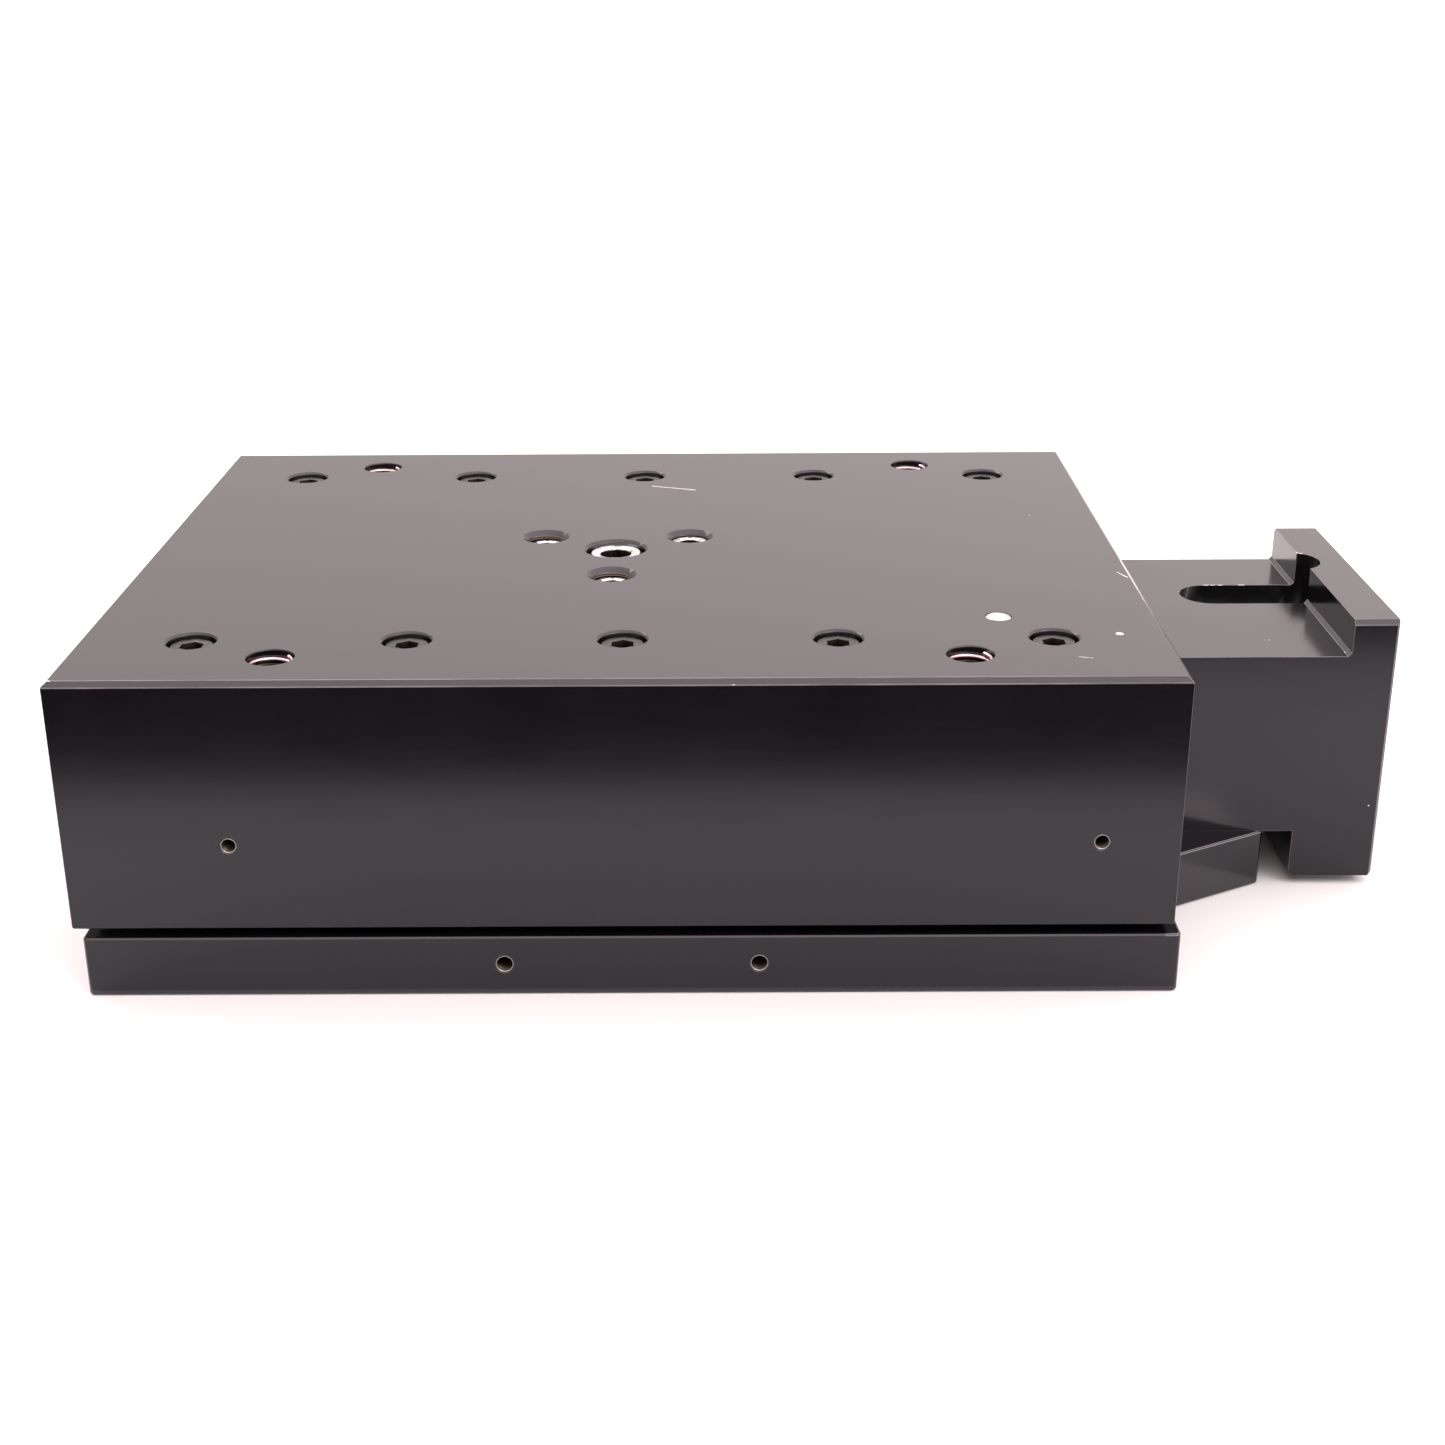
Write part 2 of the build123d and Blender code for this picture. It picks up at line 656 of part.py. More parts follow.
def make_all():
    """Every sub-part, in the order of assembly."""
    save(make_base_plate(), "base_plate")
    for name, side in sides:
        save(make_rail_support(side), f"rail_support_{name}")
        save(make_inner_rail(side), f"inner_rail_{name}")
        save(make_outer_rail(side), f"outer_rail_{name}")
        save(make_cage(side), f"roller_cage_{name}")
        save(make_rollers(side), f"rollers_{name}")
        seats = [up_at(x, side * inner_screw_y, rail_top) for x in rail_hole_xs]
        save(cap_screws("M4", seats, 4.4, 16), f"inner_rail_screws_{name}")
        seats = [up_at(rest_offset + x, side * rail_screw_y, stage_height) for x in rail_hole_xs]
        save(cap_screws("M5", seats, 6.0, 13), f"outer_rail_screws_{name}")
    save(cap_screws("M5", support_seats, base_screw_sink, base_screw_grip + 10), "rail_support_screws")
    save(make_cage_stops(), "cage_stop_plates")
    save(make_cage_stop_screws(), "cage_stop_screws")

    # Carriage
    save(make_carriage(), "carriage")
    save(make_payload_inserts(), "payload_thread_inserts")
    save(make_bracket_set_screws(), "bracket_set_screws")
    centre_seat = [up_at(rest_offset + centre_x, centre_y, stage_height)]
    save(cap_screws("5/16", centre_seat, 8.84, 11), "centre_bolt")
    with BuildPart() as dowel:
        with Locations(up_at(rest_offset + dowel_x, dowel_y, stage_height)):
            Cylinder(2.5, 8, align=(Align.CENTER, Align.CENTER, Align.MAX))
        chamfer(dowel.edges().group_by(Axis.Z)[-1], length=0.3)
    save(dowel, "locating_dowel")
    with BuildPart() as datum:
        with Locations(up_at(rest_offset + datum_x, datum_y, stage_height)):
            Cylinder(0.8, 5, align=(Align.CENTER, Align.CENTER, Align.MAX))
    save(datum, "datum_pin")
    save(make_nut_bracket(), "nut_bracket")
    with BuildPart() as dowels:
        for x in (bracket_left + 5, bracket_right - 5):
            with Locations(up_at(x, screw_y, plate_underside)):
                Cylinder(2.0, 6.5, align=(Align.CENTER, Align.CENTER, Align.MAX))
    save(dowels, "bracket_dowels")
    save(make_ball_nut(), "ball_nut")
    save(cap_screws("M4", nut_seats(bracket_right + nut_flange_thickness), 0, 16), "ball_nut_screws")

    # Motor mount, bearings and screw
    save(make_motor_mount(), "motor_mount")
    save(cap_screws("M5", mount_seats, base_screw_sink, base_screw_grip + 10), "motor_mount_screws")
    drive_starts = (97.0, 105.0)
    save(make_rings(drive_starts, 8, 10.4, 12.98, 9, 2.42), "drive_bearing_outer_rings")
    save(make_balls(drive_starts, 8, 9, 2.3, 9), "drive_bearing_balls")
    save(make_rings(drive_starts, 8, 5.0, 7.6, 9, 2.42), "drive_bearing_inner_rings")
    save(make_retainer(), "bearing_retainer")
    save(cap_screws("M3", retainer_seats(mount_left - 4), 0, 10), "bearing_retainer_screws")
    save(make_tail_block(), "tail_bearing_block")
    save(cap_screws("M5", tail_seats, base_screw_sink, base_screw_grip + 10), "tail_block_screws")
    tail_starts = (-97.5,)
    save(make_rings(tail_starts, 5, 6.7, 7.98, 6, 1.3), "tail_bearing_outer_ring")
    save(make_balls(tail_starts, 5, 6, 1.18, 9), "tail_bearing_balls")
    save(make_rings(tail_starts, 5, 4.0, 5.3, 6, 1.3), "tail_bearing_inner_ring")
    save(turned(ring_outline(-98.45, 0.8, 3.65, 5.4)), "tail_retaining_ring")
    save(make_ball_screw(), "ball_screw")
    save(turned(ring_outline(113.0, 5.8, 5.0, 10.0)), "bearing_lock_nut")
    save(make_coupling(), "shaft_coupling")
    clamp_seats = [up_at(x, screw_y + 8.2, screw_z + 5.2) for x in (124.5, 141.5)]
    save(cap_screws("M3", clamp_seats, 0, 11.5), "coupling_clamp_screws")

    # Hard stops
    for name, x in zip(("left", "right"), stop_middles):
        save(make_stop_block(x), f"stop_block_{name}")
        save(make_bumper(x), f"stop_bumper_{name}")
    save(cap_screws("M4", stop_seats, base_screw_sink, base_screw_grip + 7), "stop_block_screws")


make_all()
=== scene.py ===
import json
import math
import bpy
import numpy as np
from mathutils import Matrix, Vector

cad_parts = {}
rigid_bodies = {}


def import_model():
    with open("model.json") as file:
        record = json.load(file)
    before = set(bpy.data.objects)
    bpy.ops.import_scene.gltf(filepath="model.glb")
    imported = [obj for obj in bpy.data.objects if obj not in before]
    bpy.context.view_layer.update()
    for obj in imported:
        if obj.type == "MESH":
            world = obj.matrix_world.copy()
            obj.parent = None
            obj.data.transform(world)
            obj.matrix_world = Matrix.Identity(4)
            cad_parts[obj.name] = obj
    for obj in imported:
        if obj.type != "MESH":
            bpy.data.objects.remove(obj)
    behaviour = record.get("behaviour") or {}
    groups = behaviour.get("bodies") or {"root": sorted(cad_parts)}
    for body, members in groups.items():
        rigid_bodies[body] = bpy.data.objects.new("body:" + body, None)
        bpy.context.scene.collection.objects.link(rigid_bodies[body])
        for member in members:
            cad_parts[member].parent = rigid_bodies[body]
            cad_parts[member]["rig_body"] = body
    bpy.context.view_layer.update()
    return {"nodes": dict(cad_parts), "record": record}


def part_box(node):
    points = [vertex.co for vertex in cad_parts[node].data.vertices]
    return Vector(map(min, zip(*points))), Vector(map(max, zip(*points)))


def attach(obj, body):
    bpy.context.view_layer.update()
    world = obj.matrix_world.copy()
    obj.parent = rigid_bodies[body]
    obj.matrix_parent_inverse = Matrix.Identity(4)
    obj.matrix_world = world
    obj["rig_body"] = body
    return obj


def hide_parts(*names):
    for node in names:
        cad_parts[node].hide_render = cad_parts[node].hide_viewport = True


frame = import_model()
mm = 0.001
print("stage: frame loaded,", len(frame["nodes"]), "nodes")


# camera and studio

camera = {
    "place": (0.01806, -0.41997, 0.19009),
    "lens": 51.565,
    "down": 21.753,  # degrees below level
    "turn": 0.172,  # degrees to the left
    "roll": -0.326,
}


def placeCamera(settings):
    data = bpy.data.cameras.new("camera")
    data.lens = settings["lens"]
    data.sensor_width = 36.0
    data.clip_start = 0.01
    data.clip_end = 50.0
    seen = bpy.data.objects.new("camera", data)
    bpy.context.scene.collection.objects.link(seen)
    turn = Matrix.Rotation(math.radians(settings["turn"]), 4, "Z")
    tilt = Matrix.Rotation(math.radians(90 - settings["down"]), 4, "X")
    roll = Matrix.Rotation(math.radians(settings["roll"]), 4, "Z")
    seen.matrix_world = Matrix.Translation(settings["place"]) @ turn @ tilt @ roll
    bpy.context.scene.camera = seen


studio = {
    "sky": (1.11, 0.992, 0.985),
    "skyLean": 0.42,  # how much brighter the sky is to the right
    "skyLiftFrom": 0.20,  # height, as a share of the dome, where it starts to brighten
    "skyOverhead": 2.3,  # and how bright it is straight above
    "floorColour": (0.82, 0.81, 0.81),
    "floorSize": 10.0,
    "lamps": [  # name, place, size, power, aimed at
        ("lampFrontRight", (0.9, -0.9, 1.1), 0.7, 6.0, (0.0, 0.0, 0.03)),
        ("lampBackLeft", (-0.8, 0.9, 1.2), 0.8, 6.0, (0.0, 0.0, 0.03)),
    ],
    "reflectionCardNear": -0.178,  # painted reflection, seen only in the front faces: dark beyond this, pale nearer
    "reflectionCardSoft": 0.008,
    "reflectionCardDepth": 1.6,
    "reflectionCardPale": 0.50,
    "reflectionCardDark": 0.003,
}


def quadMesh(name, corners):
    mesh = bpy.data.meshes.new(name)
    mesh.from_pydata(corners, [], [tuple(range(len(corners)))])
    made = bpy.data.objects.new(name, mesh)
    bpy.context.scene.collection.objects.link(made)
    return made


def plainMaterial(name, colour, roughness):
    material = bpy.data.materials.new(name)
    material.use_nodes = True
    shader = material.node_tree.nodes["Principled BSDF"]
    shader.inputs["Base Color"].default_value = (*colour, 1.0)
    shader.inputs["Roughness"].default_value = roughness
    return material


def glossyOnly(card):
    card.visible_camera = False
    card.visible_diffuse = False
    card.visible_shadow = False
    card.visible_transmission = False


def studioSky(settings):
    world = bpy.data.worlds.new("studioSky")
    world.use_nodes = True
    tree = world.node_tree
    place = tree.nodes.new("ShaderNodeTexCoord")
    parts = tree.nodes.new("ShaderNodeSeparateXYZ")
    lift = tree.nodes.new("ShaderNodeMapRange")
    lift.inputs["From Min"].default_value = settings["skyLiftFrom"]
    lift.inputs["To Min"].default_value = 1.0
    lift.inputs["To Max"].default_value = settings["skyOverhead"]
    lean = tree.nodes.new("ShaderNodeMath")
    lean.operation = "MULTIPLY_ADD"
    lean.inputs[1].default_value = settings["skyLean"]
    tree.links.new(place.outputs["Generated"], parts.inputs["Vector"])
    tree.links.new(parts.outputs["Z"], lift.inputs["Value"])
    tree.links.new(parts.outputs["X"], lean.inputs[0])
    tree.links.new(lift.outputs["Result"], lean.inputs[2])
    sky = tree.nodes["Background"]
    sky.inputs["Color"].default_value = (*settings["sky"], 1.0)
    tree.links.new(lean.outputs["Value"], sky.inputs["Strength"])
    return world


# a card only reflections see: its ramp along y is a painted reflection in the front faces
def reflectionCardFinish(settings):
    material = bpy.data.materials.new("paintedReflectionCard")
    material.use_nodes = True
    tree = material.node_tree
    shader = tree.nodes["Principled BSDF"]
    shader.inputs["Roughness"].default_value = 1.0
    shader.inputs["Specular IOR Level"].default_value = 0.0
    place = tree.nodes.new("ShaderNodeTexCoord")
    parts = tree.nodes.new("ShaderNodeSeparateXYZ")
    ramp = tree.nodes.new("ShaderNodeMapRange")
    near = settings["reflectionCardNear"]
    ramp.inputs["From Min"].default_value = near - settings["reflectionCardSoft"]
    ramp.inputs["From Max"].default_value = near + settings["reflectionCardSoft"]
    ramp.inputs["To Min"].default_value = settings["reflectionCardDark"]
    ramp.inputs["To Max"].default_value = settings["reflectionCardPale"]
    tree.links.new(place.outputs["Object"], parts.inputs["Vector"])
    tree.links.new(parts.outputs["Y"], ramp.inputs["Value"])
    tree.links.new(ramp.outputs["Result"], shader.inputs["Base Color"])
    return material


def buildStudio(settings):
    bpy.context.scene.world = studioSky(settings)
    bpy.context.scene.view_settings.view_transform = "Standard"
    half = settings["floorSize"] / 2
    corners = [(-half, -half, 0), (half, -half, 0), (half, half, 0), (-half, half, 0)]
    floor = quadMesh("studioFloor", corners)
    floor.data.materials.append(plainMaterial("floorPaper", settings["floorColour"], 0.9))
    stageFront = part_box("base_plate")[0].y - 0.001
    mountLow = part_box("motor_mount")[0]
    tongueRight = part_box("base_plate")[1].x + 0.001
    far = -settings["reflectionCardDepth"]
    low = 0.0006
    outline = [
        (-half, far, low), (half, far, low), (half, mountLow.y - 0.0005, low),
        (tongueRight, mountLow.y - 0.0005, low), (tongueRight, stageFront, low), (-half, stageFront, low),
    ]
    # painted reflection: a card on the floor that only glossy rays see, pale near the stage and dark beyond
    card = quadMesh("paintedReflectionCard", outline)
    card.data.materials.append(reflectionCardFinish(settings))
    glossyOnly(card)
    for name, place, size, power, aim in settings["lamps"]:
        data = bpy.data.lights.new(name, "AREA")
        data.size = size
        data.energy = power
        lamp = bpy.data.objects.new(name, data)
        lamp.location = place
        lamp.rotation_euler = (Vector(aim) - Vector(place)).to_track_quat("-Z", "Y").to_euler()
        bpy.context.scene.collection.objects.link(lamp)


placeCamera(camera)
buildStudio(studio)
print("stage: studio ready")


# materials, all worked out from Object coordinates

def startMaterial(name):
    material = bpy.data.materials.new(name)
    material.use_nodes = True
    tree = material.node_tree
    place = tree.nodes.new("ShaderNodeTexCoord")
    return material, tree, tree.nodes["Principled BSDF"], place.outputs["Object"]


def addNoise(tree, vector, scale, detail=3.0, roughness=0.5, stretch=None):
    if stretch:
        mapping = tree.nodes.new("ShaderNodeMapping")
        mapping.inputs["Scale"].default_value = stretch
        tree.links.new(vector, mapping.inputs["Vector"])
        vector = mapping.outputs["Vector"]
    noise = tree.nodes.new("ShaderNodeTexNoise")
    noise.inputs["Scale"].default_value = scale
    noise.inputs["Detail"].default_value = detail
    noise.inputs["Roughness"].default_value = roughness
    tree.links.new(vector, noise.inputs["Vector"])
    return noise.outputs["Fac"]


def mapRange(tree, value, fromLow, fromHigh, toLow, toHigh):
    node = tree.nodes.new("ShaderNodeMapRange")
    node.inputs["From Min"].default_value = fromLow
    node.inputs["From Max"].default_value = fromHigh
    node.inputs["To Min"].default_value = toLow
    node.inputs["To Max"].default_value = toHigh
    tree.links.new(value, node.inputs["Value"])
    return node.outputs["Result"]


def combine(tree, operation, first, second):
    node = tree.nodes.new("ShaderNodeMath")
    node.operation = operation
    for socket, value in zip(node.inputs, (first, second)):
        if isinstance(value, float):
            socket.default_value = value
        else:
            tree.links.new(value, socket)
    return node.outputs["Value"]


def mixColours(tree, factor, first, second):
    node = tree.nodes.new("ShaderNodeMix")
    node.data_type = "RGBA"
    tree.links.new(factor, node.inputs["Factor"])
    for socket, colour in ((node.inputs[6], first), (node.inputs[7], second)):
        if isinstance(colour, tuple):
            socket.default_value = (*colour, 1.0)
        else:
            tree.links.new(colour, socket)
    return node.outputs[2]


def addBump(tree, shader, height, strength, distance):
    bump = tree.nodes.new("ShaderNodeBump")
    bump.inputs["Strength"].default_value = strength
    bump.inputs["Distance"].default_value = distance
    tree.links.new(height, bump.inputs["Height"])
    tree.links.new(bump.outputs["Normal"], shader.inputs["Normal"])


scratchEdge = {"scale": 900.0, "detail": 2.0, "spread": 1.6, "depth": 0.0001}


def scratchMask(tree, place, start, end, width):
    # 1 inside a thin strip from start to end: the point is turned into the strip's own frame
    (x0, y0, z0), (x1, y1, _) = start, end
    long = math.hypot(x1 - x0, y1 - y0)
    angle = math.atan2(y1 - y0, x1 - x0)
    mapping = tree.nodes.new("ShaderNodeMapping")
    mapping.vector_type = "TEXTURE"  # subtracts the location, then turns back
    mapping.inputs["Location"].default_value = (x0, y0, z0)
    mapping.inputs["Rotation"].default_value = (0.0, 0.0, angle)
    tree.links.new(place, mapping.inputs["Vector"])
    parts = tree.nodes.new("ShaderNodeSeparateXYZ")
    tree.links.new(mapping.outputs["Vector"], parts.inputs["Vector"])
    waver = addNoise(tree, place, scratchEdge["scale"], scratchEdge["detail"])
    edge = combine(tree, "MULTIPLY", waver, width * scratchEdge["spread"])
    thin = combine(tree, "LESS_THAN", combine(tree, "ABSOLUTE", parts.outputs["Y"], 0.0), edge)
    middle = combine(tree, "SUBTRACT", parts.outputs["X"], long / 2)
    inside = combine(tree, "LESS_THAN", combine(tree, "ABSOLUTE", middle, 0.0), long / 2)
    onTop = combine(tree, "GREATER_THAN", parts.outputs["Z"], -scratchEdge["depth"])
    return combine(tree, "MULTIPLY", combine(tree, "MULTIPLY", thin, inside), onTop)


def speckMask(tree, place, scale, radius, share):
    # round dots about random points, kept only where the cell's own random value is small
    voronoi = tree.nodes.new("ShaderNodeTexVoronoi")
    voronoi.inputs["Scale"].default_value = scale
    tree.links.new(place, voronoi.inputs["Vector"])
    parts = tree.nodes.new("ShaderNodeSeparateColor")
    tree.links.new(voronoi.outputs["Color"], parts.inputs["Color"])
    dot = combine(tree, "LESS_THAN", voronoi.outputs["Distance"], radius * scale)
    kept = combine(tree, "LESS_THAN", parts.outputs["Red"], share)
    return combine(tree, "MULTIPLY", dot, kept)


def nearPoint(tree, place, centre, radius):
    node = tree.nodes.new("ShaderNodeVectorMath")
    node.operation = "DISTANCE"
    node.inputs[1].default_value = centre
    tree.links.new(place, node.inputs[0])
    return combine(tree, "LESS_THAN", node.outputs["Value"], radius)


anodising = {
    "deep": (0.0032, 0.0026, 0.0040),
    "thin": (0.0062, 0.0050, 0.0060),
    "index": 1.66,
    "tint": (0.96, 0.93, 1.0),
    "smooth": 0.155,
    "rough": 0.195,
    "unevenRange": (0.75, 1.25),
    "bump": (0.10, 0.00002),  # strength, distance
    "grainScale": 5200.0,
    "cloudScale": 38.0,
    "millScale": 260.0,
    "bare": (0.55, 0.53, 0.52),  # metal under the coat
    "speckCells": 95.0,
    "speckRadius": 0.00017,
    "speckShare": 0.16,
    "scratchesAndEdgeSheen": [  # start, end, width
        ((0.0005, 0.0488, 0.0625), (0.0108, 0.0451, 0.0625), 0.00030),
        ((0.0813, -0.0690, 0.0625), (0.0838, -0.0697, 0.0625), 0.00014),
        ((0.0970, -0.0190, 0.0625), (0.0985, -0.0225, 0.0625), 0.00020),
        # these two run along the right top edge: a bare-metal line that is partly wear, partly painted
        # highlight
        ((0.0997, -0.0080, 0.0625), (0.0997, -0.0400, 0.0625), 0.00028),
        ((0.0998, -0.0400, 0.0625), (0.0998, -0.0620, 0.0625), 0.00016),
    ],
}


def anodisedBlack(settings, name, marked):
    material, tree, shader, place = startMaterial(name)
    cloud = addNoise(tree, place, settings["cloudScale"], 4.0)
    mill = addNoise(tree, place, settings["millScale"], 3.0, 0.6, (0.35, 3.0, 3.0))
    grain = addNoise(tree, place, settings["grainScale"], 2.0)
    coat = mixColours(tree, cloud, settings["deep"], settings["thin"])
    uneven = combine(tree, "ADD", cloud, mill)
    rough = mapRange(tree, uneven, *settings["unevenRange"], settings["smooth"], settings["rough"])
    if marked:
        cells, radius, share = settings["speckCells"], settings["speckRadius"], settings["speckShare"]
        marks = speckMask(tree, place, cells, radius, share)
        for start, end, width in settings["scratchesAndEdgeSheen"]:
            marks = combine(tree, "MAXIMUM", marks, scratchMask(tree, place, start, end, width))
        coat = mixColours(tree, marks, coat, settings["bare"])
    tree.links.new(coat, shader.inputs["Base Color"])
    tree.links.new(rough, shader.inputs["Roughness"])
    shader.inputs["IOR"].default_value = settings["index"]
    shader.inputs["Specular Tint"].default_value = (*settings["tint"], 1.0)
    addBump(tree, shader, combine(tree, "ADD", grain, mill), *settings["bump"])
    return material


edgeWearAndSheen = {
    # edge colours: the lighter coat and the rubbed patches are partly wear, partly painted highlight on the
    # rounded edges; chips are bare metal
    "coat": (0.012, 0.010, 0.012),
    "rubbedSheen": (0.15, 0.14, 0.145),
    "bare": (0.82, 0.78, 0.72),
    "rubAndSheenFrom": 0.36,
    "rubAndSheenTo": 0.60,
    "rubAndSheenLeast": 0.35,
    "chipFrom": 0.70,
    "chipTo": 0.72,
    "softNoise": (46.0, 5.0, 0.65),  # scale, detail, roughness
    "fineNoise": (330.0, 3.0, 0.7),
    "cornerWearAndSheen": (0.35, 0.6, 0.25, 0.9),  # from, to, least, most
    "roughness": 0.34,
    "middleX": -0.0015,
    "outerX": 0.1000,
    "outerY": 0.0788,
    "aboveZ": 0.0610,
    "chips": [  # place, radius
        ((-0.1018, -0.0794, 0.0622), 0.0007),
        ((-0.1022, -0.0445, 0.0622), 0.00045),
        ((0.0635, -0.0797, 0.0622), 0.0004),
        ((0.0135, -0.0797, 0.0619), 0.0004),
        ((0.0158, -0.0797, 0.0619), 0.0003),
        ((0.0190, -0.0797, 0.0619), 0.0005),
        ((0.0208, -0.0797, 0.0619), 0.0004),
        ((0.1425, 0.0108, 0.0574), 0.0012),
        ((0.1225, 0.0112, 0.0499), 0.0006),
        ((0.1240, 0.0112, 0.0499), 0.0005),
        ((0.1256, 0.0112, 0.0499), 0.0005),
        ((0.1302, 0.0112, 0.0499), 0.0007),
    ],
    "rightEdgeRubAndHighlight": ((0.0996, -0.0240, 0.0622), 0.0135),  # the long bright line on the right edge: painted highlight, partly wear
}


def edgeWearAndHighlight(settings):
    # only outer edges are rubbed and carry the painted highlight: far out along x, or far out along y and
    # near the top
    material, tree, shader, place = startMaterial("edgeWearAndHighlight")
    parts = tree.nodes.new("ShaderNodeSeparateXYZ")
    tree.links.new(place, parts.inputs["Vector"])
    offset = combine(tree, "SUBTRACT", parts.outputs["X"], settings["middleX"])
    outX = combine(tree, "GREATER_THAN", combine(tree, "ABSOLUTE", offset, 0.0), settings["outerX"])
    across = combine(tree, "ABSOLUTE", parts.outputs["Y"], 0.0)
    outY = combine(tree, "GREATER_THAN", across, settings["outerY"])
    high = combine(tree, "GREATER_THAN", parts.outputs["Z"], settings["aboveZ"])
    outer = combine(tree, "MAXIMUM", outX, combine(tree, "MULTIPLY", outY, high))
    soft = addNoise(tree, place, *settings["softNoise"])
    fine = addNoise(tree, place, *settings["fineNoise"])
    rubAndSheen = mapRange(tree, soft, settings["rubAndSheenFrom"], settings["rubAndSheenTo"], settings["rubAndSheenLeast"], 1.0)
    chip = mapRange(tree, fine, settings["chipFrom"], settings["chipTo"], 0.0, 1.0)
    for centre, radius in settings["chips"]:
        chip = combine(tree, "MAXIMUM", chip, nearPoint(tree, place, centre, radius))
    corner = nearPoint(tree, place, *settings["rightEdgeRubAndHighlight"])
    wornAndSheen = mapRange(tree, fine, *settings["cornerWearAndSheen"])
    chip = combine(tree, "MAXIMUM", chip, combine(tree, "MULTIPLY", corner, wornAndSheen))
    coat = mixColours(tree, combine(tree, "MULTIPLY", rubAndSheen, outer), settings["coat"], settings["rubbedSheen"])
    coat = mixColours(tree, combine(tree, "MULTIPLY", chip, outer), coat, settings["bare"])
    tree.links.new(coat, shader.inputs["Base Color"])
    shader.inputs["Roughness"].default_value = settings["roughness"]
    shader.inputs["IOR"].default_value = anodising["index"]
    return material


metals = {  # colour, roughness low and high, brushing stretch, heights over which it comes out of the painted shade deep in its hole
    "machinedAluminium": ((0.66, 0.655, 0.64), 0.24, 0.38, (1.0, 14.0, 14.0)),
    "groundSteel": ((0.60, 0.60, 0.61), 0.16, 0.28, (1.0, 30.0, 30.0)),
    "blackOxide": ((0.085, 0.080, 0.080), 0.22, 0.34, (1.0, 1.0, 1.0)),
    "brightSteel": ((0.93, 0.91, 0.89), 0.16, 0.26, (1.0, 1.0, 1.0)),
    # the insert wire fades to painted shade below these heights
    "insertWire": ((0.74, 0.55, 0.57), 0.22, 0.34, (1.0, 1.0, 1.0), (0.0600, 0.0605)),
    "pinSteel": ((0.80, 0.78, 0.76), 0.18, 0.34, (1.0, 1.0, 1.0)),
    "rolledBrass": ((0.76, 0.58, 0.30), 0.24, 0.34, (1.0, 8.0, 8.0)),
    # cut threads: partly their own bronze tint, partly painted shade inside the holes
    "threadBronzeAndShade": ((0.13, 0.10, 0.08), 0.28, 0.42, (1.0, 1.0, 1.0)),
    # painted shade: the dark colour for socket faces and for the deep end of the insert coils
    "socketShade": ((0.030, 0.024, 0.020), 0.40, 0.55, (1.0, 1.0, 1.0)),
}


streaks = {"noise": (420.0, 4.0, 0.6), "darker": 0.82, "range": (0.3, 0.7), "bump": (0.06, 0.00002)}


def metalFinish(name, colour, low, high, stretch, depth=None):
    material, tree, shader, place = startMaterial(name)
    streak = addNoise(tree, place, *streaks["noise"], stretch)
    darker = tuple(streaks["darker"] * channel for channel in colour)
    metal = mixColours(tree, streak, darker, colour)
    if depth:
        # painted shade: below the given heights the colour fades to the dark socket colour
        parts = tree.nodes.new("ShaderNodeSeparateXYZ")
        tree.links.new(place, parts.inputs["Vector"])
        lit = mapRange(tree, parts.outputs["Z"], *depth, 0.0, 1.0)
        metal = mixColours(tree, lit, metals["socketShade"][0], metal)
    tree.links.new(metal, shader.inputs["Base Color"])
    tree.links.new(mapRange(tree, streak, *streaks["range"], low, high), shader.inputs["Roughness"])
    shader.inputs["Metallic"].default_value = 1.0
    addBump(tree, shader, streak, *streaks["bump"])
    return material


rubber = {
    "noise": (2600.0, 3.0),
    "deep": (0.011, 0.011, 0.011),
    "pale": (0.022, 0.021, 0.020),
    "roughness": (0.3, 0.7, 0.55, 0.72),  # from, to, least, most
    "bump": (0.2, 0.00004),
}


def bumperRubber(settings):
    material, tree, shader, place = startMaterial("bumperRubber")
    grain = addNoise(tree, place, *settings["noise"])
    colour = mixColours(tree, grain, settings["deep"], settings["pale"])
    tree.links.new(colour, shader.inputs["Base Color"])
    tree.links.new(mapRange(tree, grain, *settings["roughness"]), shader.inputs["Roughness"])
    addBump(tree, shader, grain, *settings["bump"])
    return material


finishes = {
    "black_anodised": anodisedBlack(anodising, "anodisedBlack", False),
    "machined_aluminium": metalFinish("machinedAluminium", *metals["machinedAluminium"]),
    "ground_steel": metalFinish("groundSteel", *metals["groundSteel"]),
    "black_oxide_steel": metalFinish("blackOxide", *metals["blackOxide"]),
    "bright_steel": metalFinish("brightSteel", *metals["brightSteel"]),
    "insert_steel": metalFinish("insertWire", *metals["insertWire"]),
    "cage_brass": metalFinish("rolledBrass", *metals["rolledBrass"]),
    "rubber": bumperRubber(rubber),
}
plateFinish = anodisedBlack(anodising, "anodisedPlate", True)
threadBronzeAndShadeFinish = metalFinish("threadBronzeAndShade", *metals["threadBronzeAndShade"])
socketShadeFinish = metalFinish("socketShade", *metals["socketShade"])
pinFinish = metalFinish("pinSteel", *metals["pinSteel"])
edgeFinish = edgeWearAndHighlight(edgeWearAndSheen)
print("stage: materials ready")


# CAD nodes: their shapes stay, their edges are broken by a live bevel

edgeBreak = {"width": 0.10 * mm, "segments": 2, "angle": 35.0}
brokenEdges = (
    "base_plate", "carriage", "motor_mount", "tail_bearing_block", "nut_bracket", "bearing_retainer",
    "stop_block_left", "stop_block_right", "rail_support_front", "rail_support_rear", "shaft_coupling",
    "inner_rail_front", "inner_rail_rear", "outer_rail_front", "outer_rail_rear",
)


